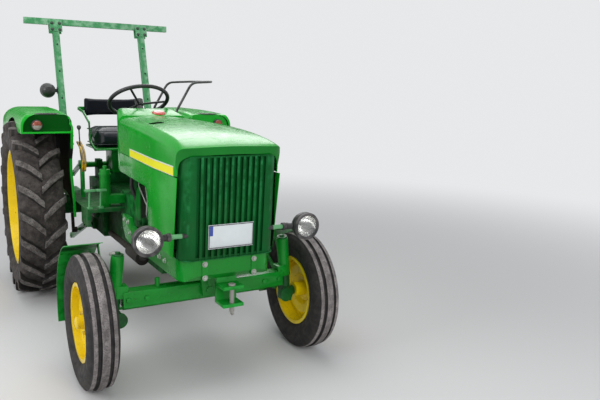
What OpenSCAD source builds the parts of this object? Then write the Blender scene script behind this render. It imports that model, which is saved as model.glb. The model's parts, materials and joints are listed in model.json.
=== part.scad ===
// Vintage farm tractor of the 1960s, rear wheel drive, with roll bar and two-piece seat.
// X runs forward, Y to the left, Z up. Lengths are millimetres.
// Stations along X are measured from the rear axle line and shifted at the end,
// so that the origin lies on the ground below the middle of the outline.

/* [Wheelbase and tracks] */
// Distance between the front and rear axle lines
wheelbase = 1930; // [1880:10:2020]
// Distance between the middles of the rear tyres
rear_track = 1352; // [1340:4:1440]
// Distance between the middles of the front tyres
front_track = 1302; // [1294:2:1340]

/* [Rear wheels] */
// Radius over the lugs
rear_tyre_r = 668; // [660:1:676]
// Width over the tread
rear_tyre_w = 316; // [300:2:324]
// Radius of the rear bead seat
rear_rim_r = 428; // [420:1:432]
// Height of the lugs over the carcass
lug_h = 34; // [24:1:40]
// Lugs on each side of the tread
lug_count = 21; // [18:1:23]
// Thickness of the dished rear wheel disc
disc_t = 10; // [8:1:14]

/* [Front wheels] */
// Radius over the ribs
front_tyre_r = 367.5; // [360:0.5:372]
// Width of the front tyre
front_tyre_w = 165; // [150:1:170]
// Radius of the front bead seat
front_rim_r = 203; // [196:1:207]
// Depth of the grooves between the ribs
groove_d = 14; // [8:1:18]

/* [Front axle] */
// Height of the axle beam
beam_h = 86; // [76:1:92]
// Depth of the axle beam, front to back
beam_d = 90; // [80:1:96]
// Height of the beam's middle above the ground
beam_z = 474; // [466:1:480]
// Half length of the beam up to its end plates
beam_half = 488; // [470:1:489]
// Distance of the kingpin axis from the middle plane, at wheel height
kingpin_y = 535; // [530:1:538]
// Inward lean of the kingpins in degrees
kingpin_lean = 5.3; // [4.5:0.1:6]
// Radius of the kingpin
kingpin_r = 20; // [16:1:22]
// Radius of the kingpin tube
kingpin_tube_r = 35; // [32:1:36]
// Height of the top of the kingpin tube
kingpin_top_z = 716; // [690:1:730]
// Length of the steering arm on each knuckle
steer_arm = 150; // [140:1:160]
// Radius of the tie rod
tie_rod_r = 14; // [10:1:15]
// Inner radius of the front mudguards
mudguard_r = 410; // [402:1:420]
// Thickness of the mudguard sheet
mudguard_t = 4; // [3:0.5:6]

/* [Bonnet] */
// Distance from the front axle line to the lip of the bonnet
nose_overhang = 415; // [400:1:430]
// Height of the lip of the bonnet
nose_z = 1328; // [1315:1:1340]
// Half width of the bonnet at the grille
bonnet_half_front = 291; // [286:1:296]
// Half width of the bonnet at the dash cowl
bonnet_half_rear = 234; // [228:1:240]
// Height of the bonnet's lower edge
bonnet_low_z = 1173; // [1160:1:1180]
// Rise of the bonnet top from the lip back to the cowl
bonnet_rise = 90; // [80:1:100]
// Thickness of the sheet metal
sheet_t = 4; // [3:0.5:5]
// Station of the seam between bonnet and cowl
cowl_x = 1000; // [985:1:1015]
// Length of the cowl
cowl_len = 196; // [180:1:210]
// Height of the top of the cowl
cowl_top_z = 1461; // [1450:1:1470]
// Half width of the cowl at its rear edge
cowl_half_rear = 200; // [190:1:210]
// Lean of the side sheets' front edges in degrees
nose_lean = 9.6; // [8:0.1:11]

/* [Grille] */
// Upright bars in the grille
bar_count = 11; // [9:1:13]
// Distance between the bars
bar_pitch = 33; // [30:1:34]
// Width of one bar
bar_w = 13; // [10:1:16]
// Half width of the field of bars
field_half = 191; // [186:1:200]
// Half width of the grille
grille_half = 268; // [262:1:269]
// Plan radius of the grille's edges
grille_r = 65; // [50:1:75]
// Width of the blank plate on the grille
plate_w = 255; // [240:1:270]
// Height of the blank plate
plate_h = 130; // [120:1:140]

/* [Front frame] */
// Half width of the cast front frame
frame_half = 264; // [258:1:268]
// Thickness of the frame's walls
frame_wall = 26; // [18:1:30]
// Height of the frame's lower edge
frame_low_z = 620; // [615:1:630]
// Height of the frame's upper edge at the nose
frame_top_z = 736; // [728:1:740]
// Length of the side rails behind the front axle line
rail_len = 780; // [770:1:790]
// Height of the rails at their rear end
rail_top_z = 783; // [775:1:790]
// Plan radius of the nose corners
chin_r = 95; // [80:1:110]
// Radius of the hitch pin
hitch_pin_r = 12.5; // [11:0.5:14]
// Gap between the plates of the hitch jaw
jaw_gap = 78; // [70:1:86]

/* [Drive line] */
// Half width of the crankcase
engine_half = 150; // [140:1:160]
// Length of the engine
engine_len = 560; // [540:1:570]
// Cooling fins on each cylinder
fin_count = 9; // [6:1:10]
// Radius of the rear axle tubes
trumpet_r = 78; // [70:1:82]
// Radius of the rear wheel shafts
shaft_r = 38; // [34:1:42]

/* [Rear mudguards and platform] */
// Height of the mudguard's crown over the top of the rear tyre
fender_gap = 92; // [84:1:100]
// Drop of its top from the crown to the front face
fender_drop = 24; // [15:1:30]
// Outer edge of the mudguard from the middle plane
fender_outer_y = 786; // [780:1:792]
// Inner face of the mudguard wall
fender_inner_y = 438; // [436:1:444]
// Station of the front face of the mudguard
fender_front_x = 520; // [505:1:535]
// Drop of the front face's lower edge below the crown
fender_lip_drop = 158; // [152:1:164]
// Radius of the outer upper edge
fender_round = 115; // [100:1:118]
// Depth of the recess in the front face
recess_d = 26; // [18:1:34]
// Height of the platform
platform_z = 777; // [770:1:785]

/* [Driver's place] */
// Radius of the steering wheel
wheel_r = 222; // [210:1:230]
// Height of the middle of the steering wheel
wheel_z = 1506; // [1500:1:1515]
// Lean of the steering column in degrees
column_lean = 32; // [30:1:35]
// Width of the seat cushion
cushion_w = 490; // [460:2:500]
// Thickness of the seat cushion
cushion_t = 150; // [130:1:160]
// Width of the backrest
backrest_w = 456; // [430:2:470]
// Height of the backrest
backrest_h = 150; // [140:1:160]

/* [Roll bar] */
// Width of the square tube
bar_tube = 50; // [45:1:55]
// Height of the top of the cross tube
rollbar_z = 2150; // [2120:1:2170]
// Half length of the cross tube
cross_half = 601; // [580:1:620]
// Distance of each post from the middle plane
post_y = 360; // [354:1:364]

/* [Rear linkage] */
// Length of the lower links
link_len = 700; // [680:1:720]
// Length of the lift arms, which is also the rod's place on the link
lift_arm = 320; // [300:1:330]
// Radius of the linkage pins
link_pin_r = 11; // [10:0.5:12]

/* [Lamps] */
// Radius of the headlamp shells
lamp_r = 76; // [70:1:80]
// Distance of each headlamp from the middle plane
lamp_y = 448; // [444:1:455]
// Height of the headlamps
lamp_z = 872; // [865:1:880]

/* [Hidden] */
$fn = 48;
// Running clearance of a pin or shaft in its bore
pin_gap = 0.08;
// Gap that seated pieces keep
seat = 0.3;
// Clearance of moving faces
clear = 5;
nose_x = wheelbase + nose_overhang;
link_pin_x = -100;
link_eye_r = 26;
arm_drop = 20;
tail_x = link_pin_x - link_len * cos(arm_drop) - link_eye_r;
mid_x = (nose_x + tail_x) / 2;
rear_y = rear_track / 2;
front_y = front_track / 2;
front_z = front_tyre_r;
kingpin_x = wheelbase + 20;
rail_end_x = wheelbase - rail_len;

// Places a piece whose stations are measured from the rear axle line
module from_axle() { translate([-mid_x, 0, 0]) children(); }

// Left and right copies of one piece
module both_sides() { children(); mirror([0, 1, 0]) children(); }

// A body of revolution about the Y axis, its outer side towards +Y
module turned_y() { rotate([-90, 0, 0]) rotate_extrude($fn = 72) children(); }

// A rod between two points
module rod(a, b, r) {
    d = b - a;
    translate(a)
        rotate([0, acos(d[2] / norm(d)), atan2(d[1], d[0])])
            cylinder(h = norm(d), r = r);
}

// A flat-ended box from one corner to the opposite one
module block(a, b) { translate(a) cube(b - a); }

// Extrudes an outline drawn in X and Z along Y, from y0 to y1
module side_cut(y0, y1) { translate([0, y1, 0]) rotate([90, 0, 0]) linear_extrude(y1 - y0) children(); }

// Extrudes an outline drawn in Y and Z along X, from x0 to x1
module front_cut(x0, x1) { translate([x0, 0, 0]) rotate([90, 0, 90]) linear_extrude(x1 - x0) children(); }

// Rear wheels

// Half outline of the rear tyre without its lugs: [radius, distance from the middle]
carcass_r = rear_tyre_r - lug_h;
fender_z = 2 * rear_tyre_r + fender_gap;
fender_lip_z = fender_z - fender_lip_drop;
rear_hw = rear_tyre_w / 2;
function rear_side(s) = [[rear_rim_r, s * (rear_hw - 40)], [rear_rim_r + 18, s * (rear_hw - 40)],
    [rear_rim_r + 50, s * (rear_hw - 10)], [(rear_rim_r + carcass_r) / 2 + 20, s * (rear_hw - 1)],
    [carcass_r - 32, s * (rear_hw - 8)], [carcass_r - 6, s * (rear_hw - 40)], [carcass_r, s * 60]];
function reversed(list) = [for (i = [len(list) - 1 : -1 : 0]) list[i]];

// Ring in which the lugs end: its outer face is the crown of the tread
crown = [[carcass_r - 80, -rear_hw + 12], [carcass_r - 60, -rear_hw], [rear_tyre_r - 26, -rear_hw],
    [rear_tyre_r - 8, -rear_hw + 38], [rear_tyre_r, -60], [rear_tyre_r, 60],
    [rear_tyre_r - 8, rear_hw - 38], [rear_tyre_r - 26, rear_hw], [carcass_r - 60, rear_hw],
    [carcass_r - 80, rear_hw - 12], [carcass_r - 30, rear_hw - 60], [carcass_r - 30, -rear_hw + 60]];
// Footprint of one lug: [along the tread, from the middle to the shoulder]
lug_outline = [[52, -6], [106, -6], [36, 72], [-24, rear_hw + 2], [-84, rear_hw + 2], [-24, 72]];

module lugs() {
    for (side = [0, 1], i = [0 : lug_count - 1])
        mirror([0, 0, side])
            rotate([0, 0, (i + side / 2) * 360 / lug_count])
                translate([carcass_r - 90, 0, 0])
                    rotate([90, 0, 90])
                        linear_extrude(lug_h + 100)
                            polygon(lug_outline);
}

module rear_tyre() {
    color("#4b4742") translate([0, rear_y, rear_tyre_r]) {
        turned_y() polygon(concat(rear_side(-1), reversed(rear_side(1))));
        rotate([-90, 0, 0]) intersection() {
            rotate_extrude($fn = 72) polygon(crown);
            lugs();
        }
    }
}

// Dished disc: [radius, distance outwards from the wheel's middle plane]
hub_face = -30;
hand_hole_r = 22;
rear_dish = [[46, hub_face], [175, hub_face], [250, 18], [330, 44], [rear_rim_r - 8, 44]];
module dish(line, t) {
    turned_y() polygon(concat(line, reversed([for (p = line) [p[0], p[1] + t]])));
}

module rear_rim() {
    rim_w = rear_hw - 40 - seat;
    color("#e8b400") translate([0, rear_y, rear_tyre_r]) {
        turned_y() polygon([[rear_rim_r - 9, -rim_w - 8], [rear_rim_r + 18, -rim_w - 8],
            [rear_rim_r + 18, -rim_w - seat * 2], [rear_rim_r - seat, -rim_w - seat * 2],
            [rear_rim_r - seat, rim_w + seat * 2], [rear_rim_r + 18, rim_w + seat * 2],
            [rear_rim_r + 18, rim_w + 8], [rear_rim_r - 9, rim_w + 8]]);
        difference() {
            dish(rear_dish, disc_t);
            for (i = [0 : 7])
                rotate([0, i * 45 + 22.5, 0]) translate([290, 0, 0])
                    rotate([-90, 0, 0]) cylinder(h = 80, r = hand_hole_r);
        }
        for (i = [0 : 7])
            rotate([0, i * 45, 0]) translate([120, hub_face + disc_t, 0]) rotate([-90, 30, 0])
                cylinder(h = 16, r = 16, $fn = 6);
        turned_y() polygon([[0, hub_face - 22], [150, hub_face - 22], [150, hub_face + 2],
            [70, hub_face + 2], [64, hub_face + 58], [40, hub_face + 66], [0, hub_face + 66]]);
        translate([0, hub_face - 22 - 80, 0]) rotate([-90, 0, 0]) cylinder(h = 90, r = shaft_r);
    }
}

// Front wheels

front_hw = front_tyre_w / 2;
bead_w = front_hw - 28;
function front_side(s) = [[front_rim_r, s * bead_w], [front_rim_r + 13, s * bead_w],
    [front_rim_r + 38, s * (front_hw - 10)], [(front_rim_r + front_tyre_r) / 2, s * front_hw],
    [front_tyre_r - 42, s * (front_hw - 4)], [front_tyre_r - 20, s * (front_hw - 16)],
    [front_tyre_r - 8, s * (front_hw - 24)], [front_tyre_r - 5, s * 42],
    [front_tyre_r - groove_d, s * 38], [front_tyre_r - groove_d, s * 24],
    [front_tyre_r, s * 19]];

module front_tyre() {
    color("#4b4742") translate([wheelbase, front_y, front_z])
        turned_y() polygon(concat(front_side(-1), reversed(front_side(1))));
}

spindle_r = 21;
front_dish = [[40, 24], [78, 24], [100, 4], [150, -4], [180, 14], [front_rim_r - 7, 14]];
module front_rim() {
    color("#e8b400") translate([wheelbase, front_y, front_z]) {
        turned_y() polygon([[front_rim_r - 8, -bead_w - 7], [front_rim_r + 12, -bead_w - 7],
            [front_rim_r + 12, -bead_w - seat], [front_rim_r - seat, -bead_w - seat],
            [front_rim_r - seat, bead_w + seat], [front_rim_r + 12, bead_w + seat],
            [front_rim_r + 12, bead_w + 7], [front_rim_r - 8, bead_w + 7]]);
        dish(front_dish, 7);
        for (i = [0 : 4])
            rotate([0, i * 72, 0]) translate([60, 30, 0]) rotate([-90, 30, 0])
                cylinder(h = 14, r = 12, $fn = 6);
        turned_y() polygon([[spindle_r + pin_gap, -50], [46, -50], [46, 28], [38, 34], [34, 72],
            [24, 78], [0, 78], [0, 40], [spindle_r + pin_gap, 40]]);
    }
}

// Front axle, knuckles and steering

// Frame of the left kingpin: Z along the pin, its foot at wheel height
module at_kingpin() { translate([kingpin_x, kingpin_y, front_z]) rotate([kingpin_lean, 0, 0]) children(); }
tube_foot = (beam_z + beam_h / 2 - 32 - front_z) / cos(kingpin_lean);
tube_top = (kingpin_top_z - front_z) / cos(kingpin_lean);

module front_axle() {
    color("#17762c") from_axle() difference() {
        union() {
            block([kingpin_x - beam_d / 2, -beam_half, beam_z - beam_h / 2],
                [kingpin_x + beam_d / 2, beam_half, beam_z + beam_h / 2]);
            both_sides() {
                at_kingpin() translate([0, 0, tube_foot])
                    cylinder(h = tube_top - tube_foot, r = kingpin_tube_r);
                at_kingpin() translate([-beam_d / 2 + 8, -60, tube_foot])
                    cube([beam_d - 16, 60, 70]);
                for (y = [360, 460])
                    translate([kingpin_x + beam_d / 2 - 2, y, beam_z]) rotate([0, 90, 0])
                        cylinder(h = 14, r = 15, $fn = 6);
            }
            translate([kingpin_x, -287, beam_z + beam_h / 2 - 2]) cylinder(h = 52, r = 14);
        }
        both_sides() at_kingpin() cylinder(h = tube_top + 20, r = kingpin_r + pin_gap);
        translate([kingpin_x, 0, beam_z]) rotate([0, 90, 0])
            cylinder(h = beam_d + 40, r = pivot_r + pin_gap, center = true);
    }
}

arm_s = 20;
arm_t = 24;
// The front mudguard: its arc in degrees, its inner and its outer edge
guard_from = 100;
guard_to = 197;
guard_in = 560;
guard_out = 752;
// The mudguard's ring is bolted to this face of the knuckle
knuckle_face = guard_in - 6 - seat;
// The studs lean forward a little, so that the tie rod can roll as the arms rise and fall
stud_tilt = 1.484;
module at_stud() {
    at_kingpin() translate([-steer_arm, 0, eye_s + eye_t / 2]) rotate([0, stud_tilt, 0]) children();
}
module knuckle() {
    color("#17762c") {
        difference() {
            union() {
                block([kingpin_x - 44, kingpin_y - 32, front_z - 44],
                    [kingpin_x + 44, knuckle_face, front_z + 44]);
                at_kingpin() cylinder(h = tube_foot - seat, r = 30);
            }
            block([kingpin_x - 60, knuckle_face, front_z - 60],
                [kingpin_x + 60, knuckle_face + 60, front_z + 160]);
        }
        translate([kingpin_x + 42, knuckle_face - 42, front_z]) rotate([0, 90, 0]) cylinder(h = 16, r = 42);
        at_kingpin() {
            translate([0, 0, 50]) cylinder(h = tube_top - 46, r = kingpin_r);
            translate([0, 0, tube_top + seat]) cylinder(h = 10, r = kingpin_tube_r - 3);
            translate([0, 0, tube_top + 8]) cylinder(h = 14, r = 15, $fn = 6);
            translate([-steer_arm, -17, arm_s]) cube([steer_arm, 34, arm_t]);
            translate([-steer_arm, 0, arm_s]) cylinder(h = arm_t, r = 18);
        }
        at_stud() {
            translate([0, 0, -13]) cylinder(h = 40, r = stud_r);
            translate([0, 0, -19]) cylinder(h = 7, r = stud_r + 6);
        }
        translate([wheelbase, kingpin_y, front_z]) rotate([-90, 0, 0])
            cylinder(h = front_y - kingpin_y - 50 - clear, r = 29);
        translate([wheelbase, kingpin_y, front_z]) rotate([-90, 0, 0])
            cylinder(h = front_y - kingpin_y + 36, r = spindle_r);
    }
}

// Tie rod: two eyes on the studs of the steering arms
stud_r = 9;
eye_t = 20;
eye_s = arm_s - 31;
eye_play = [0.5, 2];
function tie_y() = kingpin_y - sin(kingpin_lean) * (eye_s + eye_t / 2);
function tie_z() = front_z + cos(kingpin_lean) * (eye_s + eye_t / 2);
module tie_rod() {
    x = kingpin_x - steer_arm;
    color("#2c2f2c") from_axle() difference() {
        union() {
            both_sides() at_stud() cylinder(h = eye_t, r = 20, center = true);
            rod([x, -tie_y() + 17, tie_z()], [x, tie_y() - 17, tie_z()], tie_rod_r - 5);
            rod([x, -tie_y() + 90, tie_z()], [x, tie_y() - 90, tie_z()], tie_rod_r);
        }
        for (side = [0, 1])
            mirror([0, side, 0]) at_stud()
                cylinder(h = eye_t + 4, r = stud_r + eye_play[side], center = true);
    }
}

// Front mudguard: curved sheet behind the wheel, its two stays and the ring at the spindle
module mudguard() {
    color("#1a5a2b") translate([wheelbase, 0, front_z]) {
        translate([0, guard_out, 0]) rotate([90, 0, 0]) rotate([0, 0, guard_from])
            rotate_extrude(angle = guard_to - guard_from, $fn = 72)
                polygon([[mudguard_r, 0], [mudguard_r + mudguard_t, 0],
                    [mudguard_r + mudguard_t, guard_out - guard_in + 3],
                    [mudguard_r, guard_out - guard_in + 3]]);
        difference() {
            union() {
                for (a = [118, 150])
                    rotate([0, -a, 0]) block([40, guard_in - 6, -16], [mudguard_r + 2, guard_in, 16]);
                translate([0, guard_in - 6, 0]) rotate([-90, 0, 0]) cylinder(h = 6, r = 44);
            }
            translate([0, guard_in - 8, 0]) rotate([-90, 0, 0]) cylinder(h = 12, r = 29 + seat);
        }
    }
}

module steering_column() {
    color("#1f2321") from_axle() at_column() difference() {
        union() {
            translate([0, 0, -column_len]) cylinder(h = column_len - 41, r = 22);
            translate([0, 0, -215]) cylinder(h = 60, r = 34);
        }
        translate([0, 0, -100]) cylinder(h = 80, r = 10 + pin_gap);
    }
}

wheel_x = 658;
column_len = 440;
module at_column() { translate([wheel_x, 0, wheel_z]) rotate([0, -column_lean, 0]) children(); }
module steering_wheel() {
    color("#15171a") from_axle() at_column() {
        rotate_extrude($fn = 72) translate([wheel_r - 14, 0]) circle(r = 14, $fn = 24);
        translate([0, 0, -36]) cylinder(h = 44, r = 30);
        translate([0, 0, -90]) cylinder(h = 60, r = 10);
        for (a = [90, 210, 330])
            rotate([0, 0, a]) rod([20, 0, -22], [wheel_r - 16, 0, 0], 8);
    }
}

// Front frame

pivot_r = 22;
nose_block = 100;
frame_front_x = nose_x - 55;
strap_y = 141;
// Plan of the frame: rounded nose, straight rails
module frame_plan(inset) {
    hw = frame_half - inset;
    xf = frame_front_x - inset;
    r = chin_r - inset;
    polygon(concat([[rail_end_x, -hw]],
        [for (a = [-90 : 7.5 : 0]) [xf - r + r * cos(a), -hw + r + r * sin(a)]],
        [for (a = [0 : 7.5 : 90]) [xf - r + r * cos(a), hw - r + r * sin(a)]],
        [[rail_end_x, hw]]));
}

module front_frame() {
    color("#1f9a3c") from_axle() {
        difference() {
            intersection() {
                translate([0, 0, frame_low_z]) linear_extrude(200) frame_plan(0);
                side_cut(-frame_half - 1, frame_half + 1)
                    polygon([[rail_end_x, 700], [rail_end_x + 60, frame_low_z + 14],
                        [rail_end_x + 160, frame_low_z], [frame_front_x - 30, frame_low_z],
                        [frame_front_x, frame_low_z + 30], [frame_front_x, frame_top_z - 4],
                        [frame_front_x - 4, frame_top_z], [rail_end_x + 190, frame_top_z],
                        [rail_end_x + 150, rail_top_z], [rail_end_x, rail_top_z]]);
            }
            translate([0, 0, frame_low_z - 1]) linear_extrude(210) difference() {
                frame_plan(frame_wall);
                translate([frame_front_x - 330, -400]) square([140, 800]);
                translate([frame_front_x - nose_block, -400]) square([nose_block + 1, 800]);
            }
            translate([0, 0, frame_low_z - 1]) linear_extrude(50)
                translate([frame_front_x - 331, -frame_half + 26]) square([142, 2 * frame_half - 52]);
        }
        for (x = [kingpin_x + beam_d / 2 + seat, kingpin_x - beam_d / 2 - 24 - seat])
            front_cut(x, x + 24)
                polygon([[-70, frame_low_z + 60], [-40, beam_z - 36],
                    [40, beam_z - 36], [70, frame_low_z + 60]]);
        translate([kingpin_x - beam_d / 2 - 32, 0, beam_z]) rotate([0, 90, 0])
            cylinder(h = beam_d + 64, r = pivot_r);
        for (y = [-strap_y, strap_y])
            block([frame_front_x - 30, y - 14, frame_low_z + 5],
                [frame_front_x + 9, y + 14, frame_top_z - 3]);
        for (y = [-strap_y, strap_y], z = [frame_low_z + 20, frame_top_z - 22])
            translate([frame_front_x + 8, y, z]) rotate([0, 90, 0]) cylinder(h = 10, r = 9, $fn = 6);
        // Bolts on the rails: [distance ahead of the rear end, height]
        both_sides() for (b = [[60, 755], [144, 755], [187, 690], [785, 682], [880, 682]])
            translate([rail_end_x + b[0], frame_half - 2, b[1]])
                rotate([-90, 0, 0]) cylinder(h = 12, r = 11, $fn = 6);
    }
}

jaw_z = frame_low_z - 30;
hitch_x = nose_x - 19;
module front_hitch() {
    color("#17762c") from_axle() difference() {
        union() {
            block([frame_front_x - 60, -58, jaw_z - 18], [hitch_x + 24, 58, jaw_z]);
            block([frame_front_x - 60, -58, jaw_z - 36 - jaw_gap], [hitch_x + 24, 58, jaw_z - 18 - jaw_gap]);
            block([frame_front_x - 60, -58, jaw_z - 36 - jaw_gap],
                [frame_front_x - 34, 58, frame_low_z - seat]);
        }
        translate([hitch_x, 0, jaw_z - 200]) cylinder(h = 250, r = hitch_pin_r + pin_gap);
    }
}

module hitch_pin() {
    color("#2b2c2e") from_axle() translate([hitch_x, 0, 0]) {
        translate([0, 0, jaw_z - 36 - jaw_gap - 30]) cylinder(h = jaw_gap + 66 + seat + 2, r = hitch_pin_r);
        translate([0, 0, jaw_z + seat]) cylinder(h = 9, r = hitch_pin_r + 6);
        translate([0, 0, jaw_z - 36 - jaw_gap - 36]) rotate([90, 0, 0])
            rotate_extrude() translate([13, 0]) circle(r = 4);
    }
}

// Engine and drive line

engine_x = rail_end_x + 8;
deck_z = 742;
head_z = 1010;
cylinder_pitch = engine_len / 3 - 20;
module engine_block() {
    color("#2a3a30") from_axle() {
        block([engine_x, -engine_half, 560], [engine_x + engine_len, engine_half, deck_z]);
        side_cut(-engine_half + 30, engine_half - 30)
            polygon([[engine_x, 562], [engine_x, 480], [engine_x + 40, 450],
                [engine_x + engine_len - 200, 450], [engine_x + engine_len - 160, 500],
                [engine_x + engine_len - 20, 520], [engine_x + engine_len - 20, 562]]);
        block([engine_x + 8, -100, head_z + 60 + seat], [engine_x + engine_len - 60, 100, head_z + 120]);
        block([engine_x + engine_len + seat - 1, -120, 600], [engine_x + engine_len + 60, 120, 900]);
        translate([engine_x + engine_len + 58, 0, 760]) rotate([0, 90, 0]) cylinder(h = 34, r = 84);
        block([frame_front_x - 320, -225, frame_top_z + seat], [frame_front_x - 250, 225, bonnet_low_z - 13]);
    }
}

module cylinders() {
    color("#39453d") from_axle() for (i = [0 : 2])
        translate([engine_x + 96 + i * cylinder_pitch, 0, deck_z + seat]) {
            cylinder(h = head_z - deck_z - seat, r = 62);
            for (k = [0 : fin_count - 1])
                translate([0, 0, 14 + k * (head_z - deck_z - 28) / fin_count]) cylinder(h = 9, r = 76);
            translate([-76, -98, head_z - deck_z - 20]) cube([152, 196, 80 - seat]);
        }
}

// Air duct on the right: an arched cover with a flange of bolts
duct_y = -engine_half - seat;
module duct_outline(r) {
    union() {
        translate([engine_x + 180, 860]) circle(r = 150 - r);
        polygon([[engine_x + 30 + r, 860], [engine_x + 30 + r, 692 + r], [engine_x + 210 - r, 692 + r],
            [engine_x + 250 - r, 760], [engine_x + 400 - r, 840], [engine_x + 400 - r, 1010 - r],
            [engine_x + 180, 1010 - r], [engine_x + 120, 900]]);
    }
}
module air_duct() {
    color("#15602a") from_axle() {
        side_cut(duct_y - 40, duct_y) duct_outline(14);
        side_cut(duct_y - 6, duct_y) duct_outline(0);
        // Bolts round the flange: [distance from the rear of the engine, height]
        for (b = [[36, 716], [36, 776], [36, 836], [70, 966],
                [130, 700], [190, 1003], [290, 1003], [390, 1000]])
            translate([engine_x + b[0], duct_y - 5, b[1]])
                rotate([90, 30, 0]) cylinder(h = 8, r = 6.5, $fn = 6);
    }
}

module engine_fittings() {
    color("#20382a") from_axle() {
        translate([engine_x + 452, -186, 960]) cylinder(h = 130, r = 44);
        translate([engine_x + 452, -186, 960]) sphere(r = 44);
        block([engine_x + 420, -186, 1064], [engine_x + 484, -100 - seat, 1100]);
        translate([engine_x + 330, 190, 800]) rotate([0, 90, 0]) cylinder(h = 150, r = 52);
        block([engine_x + 350, engine_half + seat, 640], [engine_x + 460, 205, 770]);
    }
}

// Silencer below the platform, its tail pipe and its bend to the engine
muffler = [engine_x + 92, -235, frame_low_z - 63];
muffler_len = 240;
module exhaust() {
    bend = muffler + [muffler_len + 60, 0, 35];
    color("#2a2826") from_axle() {
        translate(muffler) rotate([0, 90, 0]) cylinder(h = muffler_len, r = 44);
        translate(muffler - [550, 0, 0]) rotate([0, 90, 0]) cylinder(h = 560, r = 20);
        rod(muffler + [muffler_len - 10, 0, 0], bend, 22);
        translate(bend) sphere(r = 23);
        translate(bend) rotate([-90, 0, 0]) cylinder(h = -bend[1] - engine_half - seat, r = 22);
    }
}

// Half widths of the gearbox, the clutch housing and the rear axle case, height of the gearbox
gear_half = 150;
bell_half = 170;
case_half = 180;
gear_z = [470, 850];
lift_shaft_r = 24;
top_link_r = 9.75;
power_shaft_r = 17.4;
module gearbox() {
    color("#1d6b31") from_axle() {
        block([760, -bell_half, gear_z[0] + 30], [engine_x - seat, bell_half, gear_z[1] + 30]);
        block([260, -gear_half, gear_z[0]], [760, gear_half, gear_z[1]]);
        block([-240, -case_half, gear_z[0] - 40], [260, case_half, gear_z[1]]);
        block([-200, -gear_half + 10, gear_z[1]], [210, gear_half - 10, gear_z[1] + 80]);
        difference() {
            block([820, -110, gear_z[1] + 28], [950, 110, cowl_cavity_z - seat]);
            at_column() translate([0, 0, -column_len - 1]) cylinder(h = column_len, r = 22 + seat);
        }
        // Pins of the lower links, bearings of the lift shaft, bracket of the top link, power shaft
        both_sides() {
            block([link_pin_x - 60, case_half - 1, link_pin_z - 40], [link_pin_x + 60, 200, link_pin_z + 50]);
            translate([link_pin_x, 190, link_pin_z]) rotate([-90, 0, 0]) cylinder(h = 78, r = link_pin_r);
            translate([link_pin_x, 257, link_pin_z]) rotate([-90, 0, 0]) cylinder(h = 11, r = link_pin_r + 7);
            difference() {
                block([lift_pin[0] - 44, 96, gear_z[1] + 79],
                    [lift_pin[0] + 44, gear_half - 10, lift_pin[1] + 44]);
                translate([lift_pin[0], 90, lift_pin[1]]) rotate([-90, 0, 0])
                    cylinder(h = 60, r = lift_shaft_r + pin_gap);
            }
            difference() {
                block([-300, 24, 770], [-239, 40, 840]);
                translate([-275, 0, 805]) rotate([-90, 0, 0]) cylinder(h = 60, r = top_link_r);
            }
        }
        translate([-310, 0, 600]) rotate([0, 90, 0]) cylinder(h = 72, r = power_shaft_r);
    }
}

// Upright oil reservoir beside the clutch housing, in front of the platform's right half
reservoir = [820, -295];
reservoir_r = 36;
module oil_reservoir() {
    color("#1d6b31") from_axle() {
        translate([reservoir[0], reservoir[1], platform_z + seat]) {
            cylinder(h = 262, r = reservoir_r);
            translate([0, 0, 223]) cylinder(h = 12, r = reservoir_r + 6);
            translate([0, 0, 261]) cylinder(h = 26, r = 14);
        }
        block([reservoir[0] - reservoir_r, reservoir[1], platform_z + 23],
            [reservoir[0] + reservoir_r, -bell_half - seat, platform_z + 83]);
    }
}

trumpet_end = rear_y + hub_face - 22 - clear;
module rear_axle() {
    color("#1d6b31") from_axle() both_sides() difference() {
        union() {
            translate([0, case_half + seat, rear_tyre_r]) rotate([-90, 0, 0]) cylinder(h = 26, r = 130);
            translate([0, case_half + seat, rear_tyre_r]) rotate([-90, 0, 0])
                cylinder(h = trumpet_end - case_half - seat, r = trumpet_r);
            translate([0, trumpet_end - 60, rear_tyre_r])
                rotate([-90, 0, 0]) cylinder(h = 60, r = trumpet_r + 22);
        }
        translate([0, trumpet_end - 90, rear_tyre_r])
            rotate([-90, 0, 0]) cylinder(h = 100, r = shaft_r + pin_gap);
    }
}

// Bonnet, cowl and side panels

// Stations of the bonnet: [distance behind the lip, share of the taper, share of the rise]
bonnet_stations = [[0, 0, 0], [95, 0, 0.07], [445, 0.12, 0.33], [745, 0.42, 0.55], [1095, 0.75, 0.81],
    [nose_x - cowl_x, 1, 1]];
function half_at(s) = bonnet_half_front - s[1] * (bonnet_half_front - bonnet_half_rear);
function top_at(s) = nose_z + s[2] * bonnet_rise;

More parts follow.
